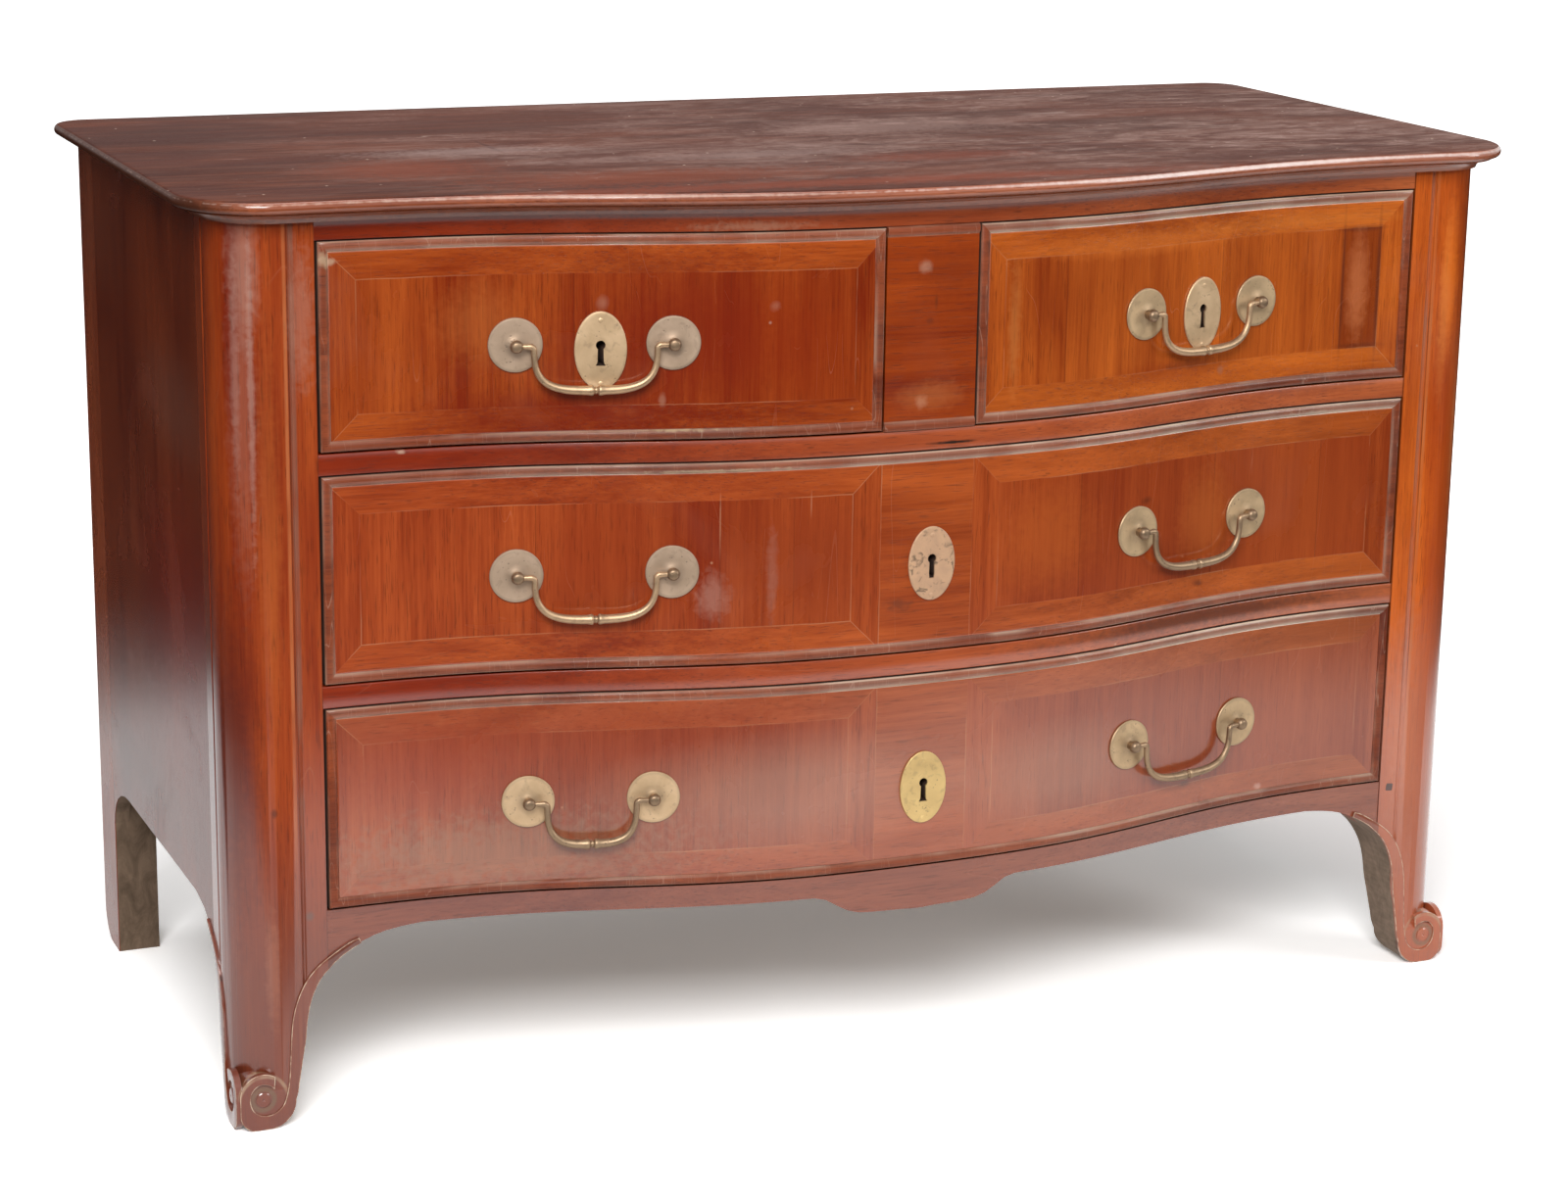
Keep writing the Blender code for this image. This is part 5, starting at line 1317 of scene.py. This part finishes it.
def front_place(x, half_width, standoff=0.0):
    """Where a flat plate sits on the curved front, and the turn that faces it squarely out."""
    slope = front_slope(x)
    out = Vector((slope, -1)).normalized()
    middle = Vector((x, front_line(x)))
    rise = max((Vector((x + step, front_line(x + step))) - middle).dot(out)
               for step in evenly(-half_width, half_width, 8))
    seat = middle + (rise + SEAT_GAP + standoff) * out
    return Vector((seat.x, FLAT_FRONT + seat.y, 0)), math.atan(slope)


def put(piece, place, turn):
    """Turns a piece about the upright through its own middle, and moves it to its place."""
    hold(piece)
    piece.matrix_world = Matrix.Translation(place) @ Matrix.Rotation(turn, 4, "Z")
    bpy.ops.object.transform_apply()


def dull_brass(name, pale, dark, rough, stained=0.25, metal=0.7):
    """Old brass: brown-grey tarnish in clouds over a yellower metal, specked and finely scratched."""
    material, shader, place = open_material(name)
    clouds = cloud(place, 46.0, 4.0, 0.5, 0.6)
    rare = ramp(cloud(place, 90.0), 0.58, 0.64)
    speck = times(ramp(specks(place, 310.0), 0.3, 0.14), rare)
    brushed = cloud(stretched(place, (1, 1, 0.1)), 900.0)
    colour = blend(dark, pale, ramp(clouds, 0.3, 0.7))
    colour = blend(colour, (0.1, 0.075, 0.05), speck, 0.6)
    # Dirt round the posts with a painted shadow of each ball, which the "dirt" attribute shares out, and dark
    # stains
    overlay = times(ramp(cloud(place, 120.0, 4.0, 0.8), 0.56, 0.68), stained)
    overlay = sums("MAXIMUM", overlay, times(written(place, "dirt"), 0.55))
    colour = blend(colour, (0.15, 0.1, 0.065), overlay)
    height = scaled(speck, -1.2, scaled(brushed, 0.3, clouds))
    fill(shader, Base_Color=colour, Roughness=scaled(brushed, 0.08, scaled(clouds, 0.22, rough)),
         Metallic=metal, Normal=raised(height, 0.35, 0.0003))
    return material


def make_plate(foot):
    """One escutcheon at the origin, facing the front, with its keyhole's foot given."""
    plate = new_piece(bpy.ops.mesh.primitive_cylinder_add, vertices=72, radius=1, depth=1,
                      rotation=(math.pi / 2, 0, 0), location=(0, -PLATE_THICKNESS / 2, 0),
                      scale=(*PLATE_HALF, PLATE_THICKNESS))
    take_up(plate)
    pick(plate, "faces", lambda face: face.normal.y < -0.9)
    for width, rise in PLATE_EDGE:
        bpy.ops.mesh.inset(thickness=width, depth=rise)
    lay_down_tools()
    hole = [(x, -0.01, z) for x, z in keyhole_outline(0, 0, foot)]
    cut_with(plate, sawn_board("hole", hole, (0, 0.02, 0)))
    pins = []
    for height in PIN_PLACES:
        pin = new_piece(bpy.ops.mesh.primitive_uv_sphere_add, segments=20, ring_count=10, radius=0.0024,
                        location=(0, -0.0016, height), scale=(1, 0.36, 1))
        take_up(pin)
        pick(pin, "verts", lambda point: point.co.y < -0.002)
        bpy.ops.transform.resize(value=(0.92, 0.5, 0.92), center_override=(0, -0.002, height))
        lay_down_tools()
        pins.append(pin)
    plate = join(plate, *pins)
    smooth(plate, 28)
    return plate


grey_brass = dull_brass("tarnished_brass", (0.51, 0.37, 0.265), (0.42, 0.3, 0.205), 0.36)
cream_brass = dull_brass("rubbed_brass", (0.66, 0.47, 0.285), (0.54, 0.37, 0.21), 0.34)
yellow_brass = dull_brass("yellow_brass", (0.7, 0.5, 0.215), (0.58, 0.4, 0.17), 0.32)
straw_brass = dull_brass("straw_brass", (0.62, 0.44, 0.255), (0.47, 0.33, 0.19), 0.34)
pitted_brass = dull_brass("pitted_brass", (0.64, 0.4, 0.24), (0.46, 0.29, 0.185), 0.44, 0.85)
bronze = dull_brass("dark_bronze", (0.355, 0.24, 0.146), (0.235, 0.16, 0.098), 0.28, 0.45, 0.85)
pale_bronze = dull_brass("rubbed_bronze", (0.49, 0.33, 0.196), (0.36, 0.245, 0.15), 0.3, 0.3, 0.85)
# Each plate's drawer, middle, half width of its keyhole's foot, and brass
PLATES = (
    ("top_left", "left_drawer", -0.3035, 0.708, 0.0042, cream_brass),
    ("top_right", "right_drawer", 0.3035, 0.708, 0.0036, cream_brass),
    ("middle", "middle_drawer", 0.005, 0.498, 0.0025, pitted_brass),
    ("bottom", "bottom_drawer", 0.002, 0.2815, 0.004, yellow_brass),
)
for name, drawer, x, z, foot, finish in PLATES:
    plate = make_plate(foot)
    plate.name = name + "_keyhole_plate"
    seat, turn = front_place(x, PLATE_HALF[0])
    put(plate, seat + Vector((0, 0, z)), turn)
    cover(plate, finish)
    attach(plate, drawer)
    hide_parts(name + "_escutcheon")

# Rosettes with their posts. A flat turned disc of brass with a softened edge lies on the drawer, and
# a short neck through it carries a round ball, which the handle's pin enters from its inner side.
ROSETTE_RADIUS = 0.0245
ROSETTE_FACE = ((0.0004, 0.0005), (0.0009, 0.0002), (0.002, -0.0001), (0.0085, 0.0), (0.0055, 0.0002),
                (0.001, 0.0005), (0.001, 0.0002), (0.0008, 0.0002))
# How dark a rosette is made, at a distance out from its middle: dirt at its rim, and dirt with a painted
# shadow of the ball round the post
ROSETTE_DIRT_AND_BALL_SHADOW = ((0.0, 0.2), (0.006, 0.9), (0.0125, 0.15), (0.0212, 0.0), (0.0236, 0.5), (1.0, 0.6))
BALL_RADIUS = 0.006
BALL_STANDOFF = 0.0095


def make_rosette():
    """One rosette with its neck and ball at the origin, facing the front."""
    disc = new_piece(bpy.ops.mesh.primitive_cylinder_add, vertices=64, radius=ROSETTE_RADIUS, depth=0.001,
                     rotation=(math.pi / 2, 0, 0), location=(0, -0.0005, 0))
    take_up(disc)
    pick(disc, "faces", lambda face: face.normal.y < -0.9)
    for width, rise in ROSETTE_FACE:
        bpy.ops.mesh.inset(thickness=width, depth=rise)
    bpy.ops.mesh.extrude_region_move(TRANSFORM_OT_translate={"value": (0, -0.004, 0)})
    ball = new_piece(bpy.ops.mesh.primitive_uv_sphere_add, segments=32, ring_count=18, radius=BALL_RADIUS,
                     location=(0, -BALL_STANDOFF, 0), rotation=(math.pi / 2, 0, 0))
    take_up(ball)
    tip = -BALL_STANDOFF - 0.0045
    pick(ball, "verts", lambda point: point.co.y < tip)
    bpy.ops.transform.resize(value=(1, 0.4, 1), center_override=(0, tip, 0))
    lay_down_tools()
    rosette = join(disc, ball)
    write_points(rosette, "dirt", lambda place: read_off(ROSETTE_DIRT_AND_BALL_SHADOW, math.hypot(place.x, place.z)))
    for face in rosette.data.polygons:
        face.material_index = 1 if face.center.y < -0.0043 else 0
    return rosette


rosette_pattern = make_rosette()
smooth(rosette_pattern, 30)
# Each handle's drawer, middle, spacing of its posts, and the brass of its rosettes and of its bail
HANDLES = (
    ("top_left", "left_drawer", -0.309, 0.714, 0.137, grey_brass, pale_bronze),
    ("top_right", "right_drawer", 0.302, 0.714, 0.137, straw_brass, pale_bronze),
    ("middle_left", "middle_drawer", -0.309, 0.504, 0.137, grey_brass, pale_bronze),
    ("middle_right", "middle_drawer", 0.302, 0.504, 0.137, straw_brass, bronze),
    ("bottom_left", "bottom_drawer", -0.312, 0.291, 0.112, cream_brass, bronze),
    ("bottom_right", "bottom_drawer", 0.302, 0.291, 0.137, straw_brass, bronze),
)
for name, drawer, x, z, spacing, finish, _ in HANDLES:
    for side, step in (("left", -1), ("right", 1)):
        rosette = rosette_pattern.copy()
        rosette.data = rosette_pattern.data.copy()
        rosette.name = name + "_" + side + "_rosette"
        bpy.context.collection.objects.link(rosette)
        seat, turn = front_place(x + step * spacing / 2, ROSETTE_RADIUS)
        put(rosette, seat + Vector((0, 0, z)), turn)
        cover(rosette, finish, bronze)
        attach(rosette, drawer)
        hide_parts(name + "_" + side + "_post")
bpy.data.objects.remove(rosette_pattern, do_unlink=True)

# Bail handles. Each is one brass rod bent to shape, thin at the pins that turn in the balls and
# swelling to a ringed collar in its middle. It hangs from its pins and swings up.
BAIL_HALF, NARROW_BAIL_HALF, BAIL_DROP = 0.0548, 0.041, 0.04
BAIL_POWER = 3.3
BEND = 0.0034
PIN_RADIUS, THIN, THICK = 0.0022, 0.0028, 0.0042
COLLAR_RINGS = ((0.0, 0.0036), (0.0005, 0.0035), (0.0009, 0.0029), (0.0014, 0.0029), (0.0019, 0.0037),
                (0.0026, 0.0046), (0.0036, 0.0049), (0.0048, 0.0048), (0.0062, 0.0045), (0.008, 0.0042))


def rod_line(pin_tip):
    """The rod's middle line and radius from the collar out to one pin's tip."""
    half = BAIL_HALF if pin_tip > 0.06 else NARROW_BAIL_HALF
    line = [(x, -BAIL_DROP, radius) for x, radius in COLLAR_RINGS]
    for turn in evenly(math.pi / 2, 0, 34)[1:-1]:
        x = half * math.cos(turn) ** (2 / BAIL_POWER)
        z = -BAIL_DROP * math.sin(turn) ** (2 / BAIL_POWER)
        if x > 0.01 and z < -BEND - 0.0005:
            share = min(1, (x / half) ** 2.2)
            line.append((x, z, THICK + (THIN - THICK) * share))
    for turn in evenly(math.pi, math.pi / 2, 6):
        line.append((half + BEND * (1 + math.cos(turn)), BEND * (math.sin(turn) - 1), THIN))
    line.append((half + BEND + 0.0025, 0, PIN_RADIUS + 0.0002))
    line.append((pin_tip, 0, PIN_RADIUS))
    return line


def make_bail(name, pin_tip):
    """A bail that hangs from the origin with its pins along X: a bent rod whose thickness varies."""
    lay_down_tools()
    bpy.ops.curve.primitive_bezier_curve_add(radius=0.01, location=(0, 0, 0))
    rod = bpy.context.active_object
    rod.name = name
    line = rod_line(pin_tip)
    whole = [(-x, z, radius) for x, z, radius in reversed(line[1:])] + line
    rod.data.splines.clear()
    spline = rod.data.splines.new("POLY")
    spline.points.add(len(whole) - 1)
    for point, (x, z, radius) in zip(spline.points, whole):
        point.co = (x, 0, z, 1)
        point.radius = radius
    rod.data.bevel_depth = 1.0
    rod.data.bevel_resolution = 6
    rod.data.use_fill_caps = True
    rod.data.twist_mode = "Z_UP"
    bpy.ops.object.convert(target="MESH")
    rod = bpy.context.active_object
    take_up(rod)
    bpy.ops.mesh.select_all(action="SELECT")
    bpy.ops.mesh.remove_doubles(threshold=0.00001)
    bpy.ops.mesh.normals_make_consistent(inside=False)
    lay_down_tools()
    smooth(rod, 40)
    return rod


for name, drawer, x, z, spacing, _, finish in HANDLES:
    balls = [front_place(x + step * spacing / 2, ROSETTE_RADIUS, BALL_STANDOFF)[0] for step in (-1, 1)]
    chord = balls[1] - balls[0]
    bail = make_bail(name + "_bail_handle", chord.length / 2 - 0.0008)
    put(bail, (balls[0] + balls[1]) / 2 + Vector((0, 0, z)), math.atan2(chord.y, chord.x))
    cover(bail, finish)
    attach(bail, name + "_bail")
    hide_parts(name + "_bail")

# A small square peg through the joint of the right stile and the apron. It is cut off almost flush
# with the face, stands a little askew, and its end grain has gone dark.
peg = new_piece(bpy.ops.mesh.primitive_cube_add, size=0.0075, rotation=(0, math.radians(6), 0),
                location=(0.5655, FLAT_FRONT + 0.003, 0.1965))
peg.name = "right_joint_peg"
take_up(peg)
bpy.ops.mesh.select_all(action="SELECT")
bpy.ops.mesh.bevel(offset=0.0009, segments=3)
lay_down_tools()
smooth(peg, 40)
cover(peg, rough_sawn("dark_peg_end", (0.16, 0.11, 0.1), (0.07, 0.045, 0.04)))
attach(peg, "case")

# The studio: a pale floor, a wide soft lamp from the front left, one above and a weak one from the
# right, and a camera where the photograph was taken. None of it is part of the chest.
CAMERA_PLACE = Vector((-1.3385, -3.1466, 1.2859))
CAMERA_YAW, CAMERA_PITCH, CAMERA_ROLL = 0.40641, 0.255666, 0.016641
FOCAL_PIXELS, MIDDLE_ACROSS, MIDDLE_DOWN = 3571.303, 824.626, 606.383
PHOTO_WIDTH, PHOTO_HEIGHT = 1600, 1228
FLOOR_COLOUR = (0.86, 0.86, 0.86)
DARK_FLOOR = (0.03, 0.03, 0.03)
SEEN_FLOOR = (1.42, 1.41, 1.4)
SENSOR_WIDTH = 36

floor = new_piece(bpy.ops.mesh.primitive_circle_add, vertices=96, radius=60, fill_type="NGON")
floor.name = "studio_floor"
material = bpy.data.materials.new("pale_floor")
material.use_nodes = True
tree = material.node_tree
tree.nodes.clear()
place = tree.nodes.new("ShaderNodeTexCoord").outputs["Object"]
flat = stretched(place, (1, 1, 0))
away = vectors("LENGTH", in_0=flat)["Value"]
near = ramp(away, 1.85, 1.5)
# What the polish mirrors of the floor: only what lies close, and more of it toward the right
spot = split(place)
slanted = scaled(spot["X"], 0.3, spot["Y"])
before = times(ramp(slanted, -1.52, -1.1), ramp(spot["X"], -0.95, -0.55))
close = times(ramp(spot["Y"], -1.0, -0.65, 0.0, 0.9), ramp(spot["Y"], 1.35, 1.05))
mirrored = times(near, sums("MAXIMUM", before, close))
path = tree.nodes.new("ShaderNodeLightPath").outputs
seen = sums("MAXIMUM", path["Is Camera Ray"], path["Is Transmission Ray"])
glossy = path["Is Glossy Ray"]
shown = sums("ADD", times(glossy, mirrored), times(sums("SUBTRACT", 1.0, glossy), near))
colour = blend(blend(DARK_FLOOR, FLOOR_COLOUR, shown), SEEN_FLOOR, seen)
matt = wire("BsdfDiffuse", Color=colour)
lift = times(seen, ramp(away, 1.1, 2.4, 0.1))
lift = sums("MAXIMUM", lift, times(glossy, times(mirrored, 0.32)))
white = wire("Emission", Color=(1, 1, 1, 1), Strength=lift)
both = wire("AddShader", in_0=matt.outputs[0], in_1=white.outputs[0])
fill(tree.nodes.new("ShaderNodeOutputMaterial"), Surface=both.outputs[0])
cover(floor, material)

world = bpy.data.worlds.new("studio_world")
bpy.context.scene.world = world
world.use_nodes = True
tree = world.node_tree
tree.nodes.clear()
path = tree.nodes.new("ShaderNodeLightPath").outputs
seen = sums("MAXIMUM", path["Is Camera Ray"], path["Is Transmission Ray"])
seen = sums("MAXIMUM", seen, path["Is Glossy Ray"])
strength = ramp(seen, 0.0, 1.0, 0.28)
sky = wire("Background", Color=(1, 1, 1, 1), Strength=strength)
fill(tree.nodes.new("ShaderNodeOutputWorld"), Surface=sky.outputs[0])


def hang_lamp(name, place, aim, size, power):
    """A soft square lamp that faces a place on the chest."""
    data = bpy.data.lights.new(name, "AREA")
    data.shape = "RECTANGLE"
    data.size, data.size_y = size
    data.energy = power
    lamp = bpy.data.objects.new(name, data)
    bpy.context.collection.objects.link(lamp)
    lamp.location = place
    lamp.rotation_euler = (Vector(aim) - Vector(place)).to_track_quat("-Z", "Y").to_euler()
    return lamp


hang_lamp("front_lamp", (-1.7, -3.4, 3.0), (0, -0.1, 0.4), (2.0, 1.6), 180)
hang_lamp("upper_lamp", (-0.3, 0.5, 3.6), (0, 0, 0), (2.4, 2.0), 36)
hang_lamp("right_lamp", (3.4, -2.6, 2.0), (0.2, 0, 0.4), (1.4, 1.4), 42)

camera_data = bpy.data.cameras.new("photo_camera")
camera = bpy.data.objects.new("photo_camera", camera_data)
bpy.context.collection.objects.link(camera)
forward = Vector((math.sin(CAMERA_YAW) * math.cos(CAMERA_PITCH),
                  math.cos(CAMERA_YAW) * math.cos(CAMERA_PITCH), -math.sin(CAMERA_PITCH)))
right = Vector((math.cos(CAMERA_YAW), -math.sin(CAMERA_YAW), 0))
upward = right.cross(forward)
rolled_right = right * math.cos(CAMERA_ROLL) + upward * math.sin(CAMERA_ROLL)
rolled_up = upward * math.cos(CAMERA_ROLL) - right * math.sin(CAMERA_ROLL)
turn = Matrix((rolled_right, rolled_up, -forward)).transposed().to_4x4()
camera.matrix_world = Matrix.Translation(CAMERA_PLACE) @ turn
camera_data.sensor_width = SENSOR_WIDTH
camera_data.sensor_fit = "HORIZONTAL"
camera_data.lens = FOCAL_PIXELS * SENSOR_WIDTH / PHOTO_WIDTH
camera_data.shift_x = (PHOTO_WIDTH / 2 - MIDDLE_ACROSS) / PHOTO_WIDTH
camera_data.shift_y = (MIDDLE_DOWN - PHOTO_HEIGHT / 2) / PHOTO_WIDTH
camera_data.clip_end = 200
bpy.context.scene.camera = camera
bpy.context.scene.view_settings.view_transform = "Standard"
